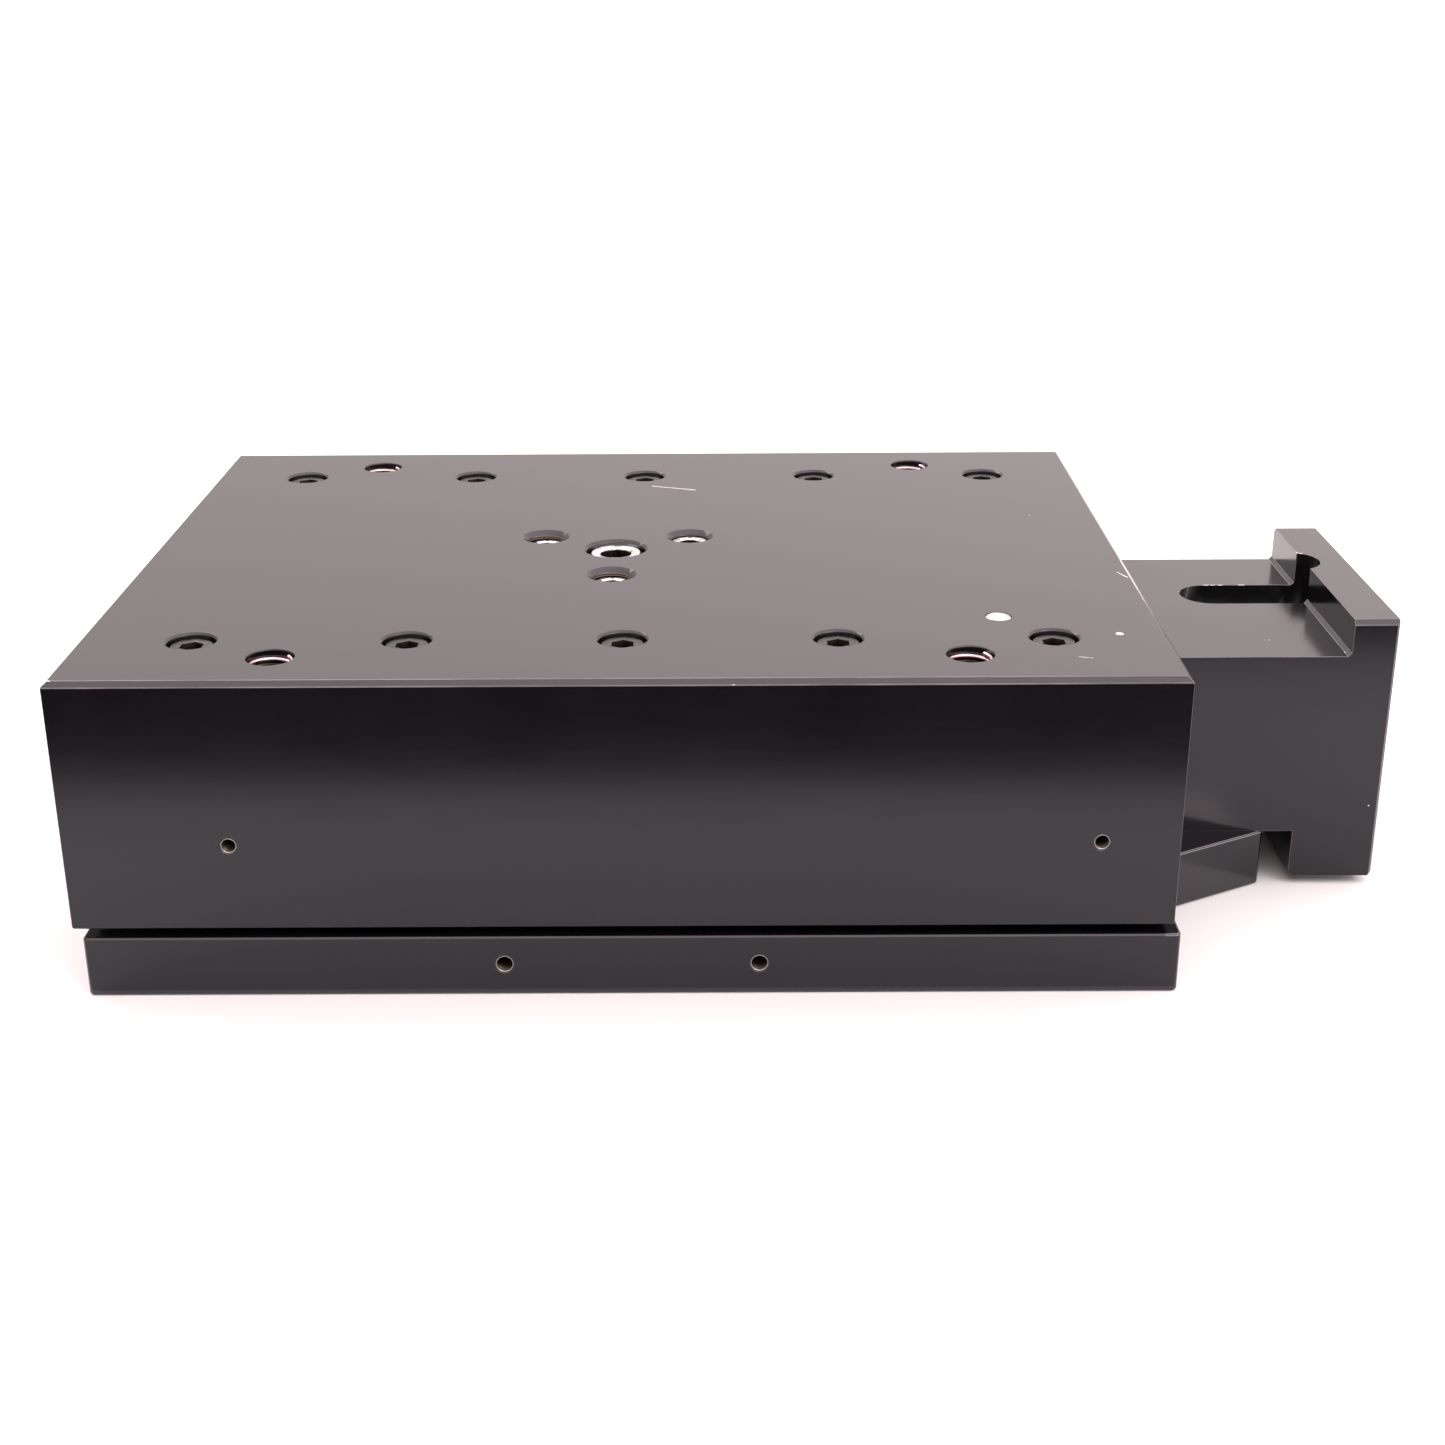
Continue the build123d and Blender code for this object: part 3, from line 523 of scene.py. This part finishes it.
def breakEdges(node, settings):
    weld = node.modifiers.new("weld", "WELD")
    weld.merge_threshold = 0.001 * mm
    flat = node.modifiers.new("flat", "DECIMATE")
    flat.decimate_type = "DISSOLVE"
    flat.angle_limit = math.radians(1.0)
    bevel = node.modifiers.new("edges", "BEVEL")
    bevel.width = settings["width"]
    bevel.segments = settings["segments"]
    bevel.limit_method = "ANGLE"
    bevel.angle_limit = math.radians(settings["angle"])
    bevel.use_clamp_overlap = False
    if len(node.data.materials) > 1:
        # the bevel faces take the edge finish, which holds painted highlight as well as wear
        bevel.material = 1
    weighted = node.modifiers.new("shading", "WEIGHTED_NORMAL")
    weighted.weight = 100


def finishNode(name, material):
    node = frame["nodes"][name]
    node.data.materials.clear()
    node.data.materials.append(plateFinish if name in ("carriage", "motor_mount") else material)
    if name in brokenEdges:
        if material.name == "anodisedBlack":
            node.data.materials.append(edgeFinish)
        breakEdges(node, edgeBreak)


slots = {row["node"]: row["material_slot"] for row in frame["record"]["subparts"]}
for name in sorted(frame["nodes"]):
    finishNode(name, finishes[slots[name]])
print("stage: CAD nodes finished")


# how a numpy surface becomes a piece

facings = {  # rows say where a piece's own x, y and z point
    "up": ((1, 0, 0), (0, 1, 0), (0, 0, 1)),
    "down": ((1, 0, 0), (0, -1, 0), (0, 0, -1)),
    "right": ((0, 1, 0), (0, 0, 1), (1, 0, 0)),
    "left": ((0, -1, 0), (0, 0, 1), (-1, 0, 0)),
    "front": ((1, 0, 0), (0, 0, 1), (0, -1, 0)),
}


def seated(points, way, seats):
    # every seat gets a copy: the points turned by the way's axes, then moved to the seat
    turned = np.asarray(points) @ np.array(facings[way], float)
    return turned[None] + np.asarray(seats, float)[:, None]


def ringShell(rings, lowPole=None, highPole=None, hoop=False):
    # quads between neighbouring rings and a fan to each pole given; a hoop joins its last ring to its first
    rows, columns, _ = rings.shape
    index = np.arange(rows * columns).reshape(rows, columns)
    after = np.roll(index, -1, axis=1)
    used = rows if hoop else rows - 1
    above, aboveAfter = np.roll(index, -1, axis=0), np.roll(after, -1, axis=0)
    quads = np.stack([index[:used], after[:used], aboveAfter[:used], above[:used]], axis=-1).reshape(-1, 4)
    points = rings.reshape(-1, 3)
    fans = []
    if lowPole is not None:
        fans.append(np.stack([np.full(columns, len(points)), after[0], index[0]], axis=-1))
        points = np.vstack([points, lowPole])
    if highPole is not None:
        fans.append(np.stack([np.full(columns, len(points)), index[-1], after[-1]], axis=-1))
        points = np.vstack([points, highPole])
    triangles = np.vstack(fans) if fans else np.zeros((0, 3), int)
    return points, quads, triangles


def makePiece(name, body, shell, way, seats, material, replaced=(), sharp=32.0, socket=None):
    # socket gives a radius, a top and a bottom: the faces inside them take a dark colour, painted shade in
    # the socket
    points, quads, triangles = shell
    copies = seated(points, way, seats)
    count = len(copies)
    shift = (np.arange(count) * len(points))[:, None, None]
    allQuads = (quads[None] + shift).reshape(-1, 4)
    allTriangles = (triangles[None] + shift).reshape(-1, 3)
    corners = np.concatenate([allQuads.ravel(), allTriangles.ravel()])
    sizes = np.concatenate([np.full(len(allQuads), 4), np.full(len(allTriangles), 3)])
    mesh = bpy.data.meshes.new(name)
    mesh.vertices.add(count * len(points))
    mesh.vertices.foreach_set("co", copies.astype(np.float32).ravel())
    mesh.loops.add(len(corners))
    mesh.loops.foreach_set("vertex_index", corners.astype(np.int32))
    mesh.polygons.add(len(sizes))
    mesh.polygons.foreach_set("loop_start", (np.cumsum(sizes) - sizes).astype(np.int32))
    mesh.polygons.foreach_set("use_smooth", np.ones(len(sizes), bool))
    mesh.update(calc_edges=True)
    mesh.validate()
    mesh.set_sharp_from_angle(angle=math.radians(sharp))
    mesh.materials.append(material)
    if socket:
        middles = np.concatenate([points[quads].mean(axis=1), points[triangles].mean(axis=1)])
        dark = (np.hypot(middles[:, 0], middles[:, 1]) < socket[0]) & (middles[:, 2] < socket[1])
        dark &= middles[:, 2] > socket[2]
        shadedFaces = np.concatenate([np.tile(dark[:len(quads)], count), np.tile(dark[len(quads):], count)])
        # painted shade for the faces inside the socket
        mesh.materials.append(socketShadeFinish)
        mesh.polygons.foreach_set("material_index", shadedFaces.astype(np.int32))
    piece = bpy.data.objects.new(name, mesh)
    bpy.context.scene.collection.objects.link(piece)
    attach(piece, body)
    if replaced:
        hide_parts(*replaced)
    return piece


def ringAt(radius, height, angles):
    # a ring: radius(angle) out, at one height
    out = np.broadcast_to(radius, angles.shape)
    level = np.full(angles.shape, height)
    return np.stack([out * np.cos(angles), out * np.sin(angles), level], axis=-1)[None]


def hexagonAt(acrossFlats, angles):
    # distance to a hexagon's side: half the width across flats over the cosine from the side's middle
    sixth = math.pi / 3
    return acrossFlats / 2 / np.cos((angles + sixth / 2) % sixth - sixth / 2)


def threadRings(outer, pitch, low, high, angles, rowsPerTurn=5):
    # radius falls from the crest by a triangle wave of height/pitch - angle/turn; the low end tapers
    rows = max(4, int(round((high - low) / pitch * rowsPerTurn)))
    heights = np.linspace(low, high, rows)[:, None]
    phase = heights / pitch - angles[None] / (2 * math.pi)
    wave = np.abs(2 * (phase % 1.0) - 1)
    lead = np.clip((heights - low) / pitch, 0, 1)
    radius = outer - threadForm["depth"] * pitch * wave * lead - threadForm["fade"] * pitch * (1 - lead)
    full = np.broadcast_to(heights, radius.shape)
    return np.stack([radius * np.cos(angles), radius * np.sin(angles), full], axis=-1)


# socket cap screws with knurled heads and cut threads

capSizes = {  # thread, pitch, head, head height, hexagon
    "M3": (3.0, 0.5, 5.5, 3.0, 2.5),
    "M4": (4.0, 0.7, 7.0, 4.0, 3.0),
    "M5": (5.0, 0.8, 8.5, 5.0, 4.0),
    "5/16": (7.94, 1.41, 11.4, 7.94, 6.35),
}
capScrews = [  # node, size, way, number along x, y and z, gap between pairs along x
    ("outer_rail_screws_front", "M5", "up", (5, 1, 1), 0),
    ("outer_rail_screws_rear", "M5", "up", (5, 1, 1), 0),
    ("inner_rail_screws_front", "M4", "up", (5, 1, 1), 0),
    ("inner_rail_screws_rear", "M4", "up", (5, 1, 1), 0),
    ("centre_bolt", "5/16", "up", (1, 1, 1), 0),
    ("rail_support_screws", "M5", "down", (5, 2, 1), 0),
    ("motor_mount_screws", "M5", "down", (2, 2, 1), 0),
    ("tail_block_screws", "M5", "down", (1, 2, 1), 0),
    ("stop_block_screws", "M4", "down", (2, 1, 1), 9.6),
    ("ball_nut_screws", "M4", "right", (1, 2, 2), 0),
    ("bearing_retainer_screws", "M3", "left", (1, 2, 2), 0),
    ("coupling_clamp_screws", "M3", "up", (2, 1, 1), 0),
]
bodyOf = {name: node["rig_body"] for name, node in frame["nodes"].items()}
capDetail = {
    "columns": 48,
    "knurl": 0.07,
    "socketShare": 0.55,
    "chamferShare": 0.08,
    "mouth": 0.12,
    "land": 1.19,  # radius of the land round the socket, as a share of the hexagon's
    "boltMouth": 0.55,  # the bright bolt's wide socket mouth
    "underRim": (0.15, 0.12),  # bevel under the head, in and up
    "knurlEnd": (1.6, 1.3),  # knurl run-out below the top, in bevels
    "drillPoint": 0.12,  # depth of the socket's cone, as a share of the hexagon
}
socketMouth = {"round": 1.17, "corner": 1.02}  # radii of a socket's rounded corners, as shares
socketReach = 0.62  # faces within this share of the hexagon belong to the socket
threadForm = {"depth": 0.61, "fade": 0.5}  # shares of the pitch


def socketRings(hexagon, flats, land, top, cornerDown, mouth, floor, angles):
    # a round land, the corners a little lower, then the hexagon from the mouth to the floor
    half = hexagon / 2
    corners = np.minimum(flats * socketMouth["corner"], half * socketMouth["round"])
    return [
        ringAt(half * land, top, angles),
        ringAt(corners, top - cornerDown, angles),
        ringAt(flats, top - mouth, angles),
        ringAt(flats, floor, angles),
    ]


def capScrewShell(size, length, settings, mouth):
    # from the shank's tip up over the knurled head and down into the socket, one closed run of rings
    thread, pitch, head, height, hexagon = capSizes[size]
    angles = np.linspace(0, 2 * math.pi, settings["columns"], endpoint=False)
    tooth = settings["knurl"] * (np.arange(settings["columns"]) % 2)
    radius, top = head / 2, height
    bevel = settings["chamferShare"] * height
    floor = height - settings["socketShare"] * height
    flats = hexagonAt(hexagon, angles)
    rimIn, rimUp = settings["underRim"]
    knurlEnd, plainStart = settings["knurlEnd"]
    plain = radius - 0.02
    rings = np.concatenate([
        threadRings(thread / 2, pitch, -length, -0.35 * pitch, angles),
        ringAt(thread / 2, -0.3 * pitch, angles),
        ringAt(thread / 2, 0.0, angles),
        ringAt(radius - rimIn, 0.0, angles),
        ringAt(radius - tooth, rimUp, angles),
        ringAt(radius - tooth, height - knurlEnd * bevel, angles),
        ringAt(plain, height - plainStart * bevel, angles),
        ringAt(plain, height - bevel, angles),
        ringAt(radius - bevel, top, angles),
        *socketRings(hexagon, flats, settings["land"], top, 0.4 * mouth, mouth, floor, angles),
    ])
    return ringShell(rings, (0, 0, -length), (0, 0, floor - settings["drillPoint"] * hexagon))


def spread(low, high, number, pair):
    if pair:
        return np.array([low, low + pair, high - pair, high])
    return np.linspace(low, high, number) if number > 1 else np.array([(low + high) / 2])


def capSeats(box, way, head, height, numbers, pair):
    # head centres stand a head's radius in from the box; the seat is the plane under the heads
    low, high = (np.array(corner) / mm for corner in box)
    along = {"up": 2, "down": 2, "right": 0, "left": 0}[way]
    toward = 1 if way in ("up", "right") else -1
    axes = []
    for axis in range(3):
        if axis == along:
            face = high[axis] if toward > 0 else low[axis]
            axes.append(np.array([face - toward * height]))
        else:
            gap = pair if axis == 0 else 0
            axes.append(spread(low[axis] + head / 2, high[axis] - head / 2, numbers[axis], gap))
    seats = np.stack(np.meshgrid(*axes, indexing="ij"), axis=-1).reshape(-1, 3)
    return seats, high[along] - low[along] - height


for node, size, way, numbers, pair in capScrews:
    head, height = capSizes[size][2:4]
    seats, length = capSeats(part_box(node), way, head, height, numbers, pair)
    mouth = capDetail["boltMouth" if node == "centre_bolt" else "mouth"]
    points, quads, triangles = capScrewShell(size, length, capDetail, mouth)
    shell = (points * mm, quads, triangles)
    # the socket's inner faces take painted shade
    inner = (capSizes[size][4] * socketReach * mm, (height - mouth) * mm, 0.0)
    slot = slots[node]
    name, body = node + "_detailed", bodyOf[node]
    makePiece(name, body, shell, way, seats * mm, finishes[slot], (node,), socket=inner)
print("stage: cap screws ready")


# set screws in the three threaded holes round the centre bolt

setScrews = {
    "ring": 17.8,
    "angles": (30, 150, 270),  # degrees
    "recesses": (1.3, 1.8, 1.8),
    "diameter": 7.9,
    "pitch": 1.25,
    "hexagon": 4.0,
    "socketDepth": 4.0,
    "mouth": 0.35,
    "land": 1.2,
    "columns": 72,
}


def setScrewShell(length, settings):
    # cup point, threaded body, flat end with a chamfer, hexagon socket; the top stands at height 0
    angles = np.linspace(0, 2 * math.pi, settings["columns"], endpoint=False)
    radius, pitch, hexagon = settings["diameter"] / 2, settings["pitch"], settings["hexagon"]
    flats = hexagonAt(hexagon, angles)
    deep = -settings["socketDepth"]
    root = radius - 0.5 * pitch
    rings = np.concatenate([
        ringAt(root - 1.0, -length, angles),
        threadRings(radius, pitch, -length + 0.5, -0.45, angles, 8),
        ringAt(radius - 0.1, -0.38, angles),
        ringAt(radius - 0.25, 0.0, angles),
        *socketRings(hexagon, flats, settings["land"], 0.0, 0.15, settings["mouth"], deep, angles),
    ])
    return ringShell(rings, (0, 0, -length + 0.9), (0, 0, deep - 0.5))


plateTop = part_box("carriage")[1].z / mm
boltLow, boltHigh = (np.array(corner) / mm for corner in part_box("centre_bolt"))
boltAxis = (boltLow + boltHigh) / 2
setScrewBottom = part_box("bracket_set_screws")[0].z / mm
ringAngles = np.radians(setScrews["angles"])
ringSpots = boltAxis[:2] + setScrews["ring"] * np.stack([np.cos(ringAngles), np.sin(ringAngles)], axis=-1)


def scaled(shell):
    points, quads, triangles = shell
    return points * mm, quads, triangles


def buildSetScrews(settings):
    for number, (spot, recess) in enumerate(zip(ringSpots, settings["recesses"]), 1):
        top = plateTop - recess
        shell = scaled(setScrewShell(top - setScrewBottom, settings))
        seat = np.array([[*spot, top]]) * mm
        name = f"bracket_set_screw_{number}"
        # the socket's inner faces take painted shade
        deepest = -(settings["socketDepth"] + 0.6) * mm
        inner = (settings["hexagon"] * socketReach * mm, -0.34 * mm, deepest)
        makePiece(
            name, "carriage", shell, "up", seat, finishes["bright_steel"], setScrewNode,
            socket=inner,
        )


setScrewNode = ("bracket_set_screws",)
buildSetScrews(setScrews)
print("stage: set screws ready")


# coils: a small profile carried along a helix, for wire inserts and cut threads

def coilShell(profile, radius, pitch, turns, stepsPerTurn):
    # point = (radius + out) round the axis, height = pitch * turn + up, for each (out, up) of the profile
    steps = int(turns * stepsPerTurn) + 1
    turned = np.linspace(0, turns, steps)[:, None]
    out = radius + np.array([p[0] for p in profile])[None]
    up = pitch * turned + np.array([p[1] for p in profile])[None]
    around = 2 * math.pi * turned
    rings = np.stack([out * np.cos(around), out * np.sin(around), up], axis=-1)
    return ringShell(rings, tuple(rings[0].mean(0)), tuple(rings[-1].mean(0)))


inserts = {
    "node": "payload_thread_inserts",
    "pitch": 1.0,
    "outside": 8.66,
    "inside": 6.95,
    "wireHalfHeight": 0.44,
    "stepsPerTurn": 44,
    "insetX": 4.35,  # half of the insert's outside size
}


def buildInserts(settings):
    # a wire of rounded diamond section, wound close
    low, high = (np.array(corner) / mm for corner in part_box(settings["node"]))
    half = (settings["outside"] - settings["inside"]) / 4
    middle = (settings["outside"] + settings["inside"]) / 4
    tall = settings["wireHalfHeight"]
    around = np.linspace(0, 2 * math.pi, 10, endpoint=False)
    out = half * np.sign(np.cos(around)) * np.abs(np.cos(around)) ** 1.15
    up = tall * np.sign(np.sin(around)) * np.abs(np.sin(around)) ** 1.15
    profile = np.stack([out, -up], axis=-1)
    turns = (high[2] - low[2] - 2 * tall) / settings["pitch"]
    shell = scaled(coilShell(profile, middle, settings["pitch"], turns, settings["stepsPerTurn"]))
    xs = (low[0] + settings["insetX"], high[0] - settings["insetX"])
    ys = (low[1] + settings["insetX"], high[1] - settings["insetX"])
    seats = np.array([(x, y, low[2] + tall) for x in xs for y in ys]) * mm
    makePiece(
        "payload_coils", "carriage", shell, "up", seats, finishes["insert_steel"],
        (settings["node"],), 60.0,
    )


buildInserts(inserts)

cutThreads = [  # name, body, way, bore radius, pitch, ridge height, length, seats at the open end
    ("bracket_hole_thread_left", "carriage", "up", 4.03, 0.42, 0.14, 0.80, "ring 1"),
    ("bracket_hole_thread_front", "carriage", "up", 4.03, 0.42, 0.14, 0.80, "ring 2"),
    ("carriage_front_hole_threads", "carriage", "front", 1.46, 0.5, 0.16, 7.0, "carriage"),
    ("base_front_hole_threads", "base", "front", 1.66, 0.6, 0.18, 7.0, "base"),
    ("motor_hole_threads", "base", "right", 2.11, 0.8, 0.30, 6.6, "motor"),
]
cutThreadPlaces = {
    "carriage": [(-72.7, 30.7), (85.7, 30.7)],
    "base": [(-23.65, 6.3), (23.65, 6.3)],
    "motorSpacing": 47.14,
    "ringDown": 1.06,  # how far each ridge's open end lies below its face
    "frontIn": 0.45,
    "motorIn": 0.5,
}


def cutThreadSeats(where):
    # the mouth of each hole, on the faces that the frame gives
    if where.startswith("ring"):
        return [(*ringSpots[int(where[-1])], plateTop - cutThreadPlaces["ringDown"])]
    if where == "motor":
        low, high = (np.array(corner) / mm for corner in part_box("motor_mount"))
        axis = np.array(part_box("ball_screw")) / mm
        middle = axis.mean(0)
        half = cutThreadPlaces["motorSpacing"] / 2
        x = high[0] - cutThreadPlaces["motorIn"]
        return [(x, middle[1] + y, middle[2] + z) for y in (-half, half) for z in (-half, half)]
    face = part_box("carriage" if where == "carriage" else "base_plate")[0].y / mm
    return [(x, face + cutThreadPlaces["frontIn"], z) for x, z in cutThreadPlaces[where]]


def buildCutThreads():
    # ridges stand in from the wall: two points just in the wall, one at the crest
    for name, body, way, radius, pitch, height, length, where in cutThreads:
        profile = [(0.02, -0.42 * pitch), (-height, 0.0), (0.02, 0.42 * pitch)]
        turns = length / pitch - 0.5
        points, quads, triangles = coilShell(profile, radius, pitch, turns, 36)
        points = points - np.array([0, 0, length - 0.4 * pitch])
        slot = "black_anodised"
        # the threads in open holes take a colour that is partly painted shade
        material = finishes[slot] if where == "motor" else threadBronzeAndShadeFinish
        seats = np.array(cutThreadSeats(where)) * mm
        makePiece(name, body, (points * mm, quads, triangles), way, seats, material)


buildCutThreads()


# bright rims where the front holes were tapped through the coat: points out and up round the mouth

holeRims = {
    "holes": [("carriage", "carriage", 1.45), ("base", "base", 1.65)],  # face, body, hole radius
    "profile": [(0.03, -0.30), (0.03, 0.18), (-0.03, 0.23), (-0.11, 0.22), (-0.17, 0.14), (-0.15, -0.25)],
}


def hoopShell(profile, radius):
    # a closed profile turned about the axis into a hoop: rows go round the profile, columns round the axis
    angles = np.linspace(0, 2 * math.pi, 48, endpoint=False)
    rings = np.concatenate([ringAt(radius + out, up, angles) for out, up in profile])
    return ringShell(rings, hoop=True)


def buildHoleRims(settings):
    for where, body, radius in settings["holes"]:
        shell = scaled(hoopShell(settings["profile"], radius))
        seats = np.array(cutThreadSeats(where)) * mm
        name = f"{where}_front_hole_rims"
        bare = finishes["machined_aluminium"]
        makePiece(name, body, shell, "front", seats, bare, (), 60.0)


buildHoleRims(holeRims)
print("stage: thread coils ready")


# dowel and datum pin, flush in the plate, with turned faces

pins = [  # node, radius, chamfer, dish depth
    ("locating_dowel", 2.46, 0.35, 0.05),
    ("datum_pin", 0.80, 0.10, 0.02),
]


pinGroove = [(1.0, 0.0), (0.93, 0.0), (0.90, 0.30), (0.84, 0.30)]  # shares of the reach and the chamfer


def pinShell(radius, chamfer, dish, length):
    # a cylinder below height 0 whose face sinks to its middle as the square of the distance, inside a ring
    angles = np.linspace(0, 2 * math.pi, 48, endpoint=False)
    reach = radius - chamfer
    inner = np.linspace(0.80, 0.15, 6) * reach
    groove = [ringAt(share * reach, -deep * chamfer, angles) for share, deep in pinGroove]
    face = [ringAt(r, -dish * (1 - (r / radius) ** 2), angles) for r in inner]
    rings = np.concatenate([
        ringAt(radius - chamfer, -length, angles),
        ringAt(radius, -length + chamfer, angles),
        ringAt(radius, -chamfer * 0.6, angles),
        *groove,
        *face,
    ])
    return ringShell(rings, (0, 0, -length), (0, 0, -dish))


def buildPins():
    for node, radius, chamfer, dish in pins:
        low, high = (np.array(corner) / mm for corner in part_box(node))
        middle = (low + high) / 2
        shell = scaled(pinShell(radius, chamfer, dish, high[2] - low[2]))
        seat = np.array([[middle[0], middle[1], high[2]]]) * mm
        makePiece(node + "_turned", "carriage", shell, "up", seat, pinFinish, (node,))


buildPins()


# the ball screw: journals, and a round groove that winds along the threaded length

ballScrew = {
    "lead": 5.0,
    "grooveHalfWidth": 1.35,
    "grooveDepth": 0.75,
    "radius": 6.0,
    "threadFrom": -86.0,
    "threadTo": 97.0,
    "shoulder": 5.6,
    "journal": 3.97,  # radius in the tail bearing and in the coupling
    "bevel": 0.4,
    "clipFrom": -98.5,  # groove of the retaining ring
    "clipTo": -97.6,
    "clipRadius": 3.6,
    "seat": 4.97,  # radius in the drive bearings
    "seatEnd": 119.0,
    "centreRadius": 1.2,  # centre holes in both ends
    "centreDepth": 0.9,
    "columns": 48,
    "rowLength": 0.3,
}


def ballScrewShell(settings, left, right):
    # radius = shaft less depth * sqrt(1 - (d / half width)^2), d the distance to the groove's middle
    angles = np.linspace(0, 2 * math.pi, settings["columns"], endpoint=False)
    start, end = settings["threadFrom"], settings["threadTo"]
    rows = int((end - start - 2.0) / settings["rowLength"])
    along = np.linspace(start + 1.0, end - 1.0, rows)[:, None]
    lead = settings["lead"]
    phase = (along / lead - angles[None] / (2 * math.pi)) % 1.0
    away = np.abs(phase - 0.5) * lead / settings["grooveHalfWidth"]
    groove = np.sqrt(np.clip(1 - away ** 2, 0, 1))
    runout = np.clip(np.minimum(along - start - 1.0, end - 1.0 - along) / 3.0, 0, 1)
    radius = settings["radius"] - settings["grooveDepth"] * groove * runout
    full = np.broadcast_to(along, radius.shape)
    threaded = np.stack([radius * np.cos(angles), radius * np.sin(angles), full], axis=-1)
    shaft, shoulder, journal = settings["radius"], settings["shoulder"], settings["journal"]
    seat, seatEnd, centre = settings["seat"], settings["seatEnd"], settings["centreRadius"]
    bevel, clip = settings["bevel"], settings["clipRadius"]
    before = [
        (centre, left), (journal - 0.42, left), (journal, left + 0.42), (journal, settings["clipFrom"]),
        (clip, settings["clipFrom"]), (clip, settings["clipTo"]), (journal, settings["clipTo"]),
        (journal, start), (shoulder, start), (shaft, start + bevel),
    ]
    after = [
        (shaft, end - bevel), (shoulder, end), (seat, end), (seat, seatEnd - 0.3), (seat - 0.3, seatEnd),
        (journal, seatEnd), (journal, right - bevel), (journal - bevel, right), (centre, right),
    ]
    rings = np.concatenate([
        *[ringAt(out, place, angles) for out, place in before],
        threaded,
        *[ringAt(out, place, angles) for out, place in after],
    ])
    deep = settings["centreDepth"]
    return ringShell(rings, (0, 0, left + deep), (0, 0, right - deep))


def buildBallScrew(settings):
    low, high = (np.array(corner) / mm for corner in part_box("ball_screw"))
    shell = scaled(ballScrewShell(settings, low[0], high[0]))
    seat = np.array([[0, (low[1] + high[1]) / 2, (low[2] + high[2]) / 2]]) * mm
    makePiece(
        "ball_screw_grooved", "drive_screw", shell, "right", seat, finishes["ground_steel"],
        ("ball_screw",), 40.0,
    )


buildBallScrew(ballScrew)
print("stage: ball screw ready")


# rubber buttons of the hard stops: a domed face on a short cylinder with its stem

bumpers = {"radius": 4.5, "length": 4.0, "dome": 0.5, "stemRadius": 2.0, "stemLength": 2.9, "rounding": 0.8}


def bumperShell(settings):
    # the face rises to the middle as the square of the distance, and meets the side on a quarter round
    angles = np.linspace(0, 2 * math.pi, 48, endpoint=False)
    radius, length, rounding = settings["radius"], settings["length"], settings["rounding"]
    dome, reach = settings["dome"], radius - rounding
    corner = [
        ringAt(reach + rounding * math.cos(t), length - dome - rounding * (1 - math.sin(t)), angles)
        for t in np.linspace(0, math.pi / 2, 6)
    ]
    inner = np.linspace(0.85, 0.15, 5) * reach
    face = [ringAt(r, length - dome * (r / reach) ** 2, angles) for r in inner]
    rings = np.concatenate([
        ringAt(settings["stemRadius"], -settings["stemLength"], angles),
        ringAt(settings["stemRadius"], 0.0, angles),
        ringAt(radius - 0.2, 0.0, angles),
        ringAt(radius, 0.2, angles),
        *corner,
        *face,
    ])
    return ringShell(rings, (0, 0, -settings["stemLength"]), (0, 0, length))


def buildBumpers(settings):
    for side, way in (("left", "right"), ("right", "left")):
        node = "stop_bumper_" + side
        low, high = (np.array(corner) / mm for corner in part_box(node))
        back = low[0] + settings["stemLength"] if way == "right" else high[0] - settings["stemLength"]
        seat = np.array([[back, (low[1] + high[1]) / 2, (low[2] + high[2]) / 2]]) * mm
        shell = scaled(bumperShell(settings))
        makePiece(node + "_domed", "base", shell, way, seat, finishes["rubber"], (node,), 50.0)


buildBumpers(bumpers)
print("stage: bumpers ready")
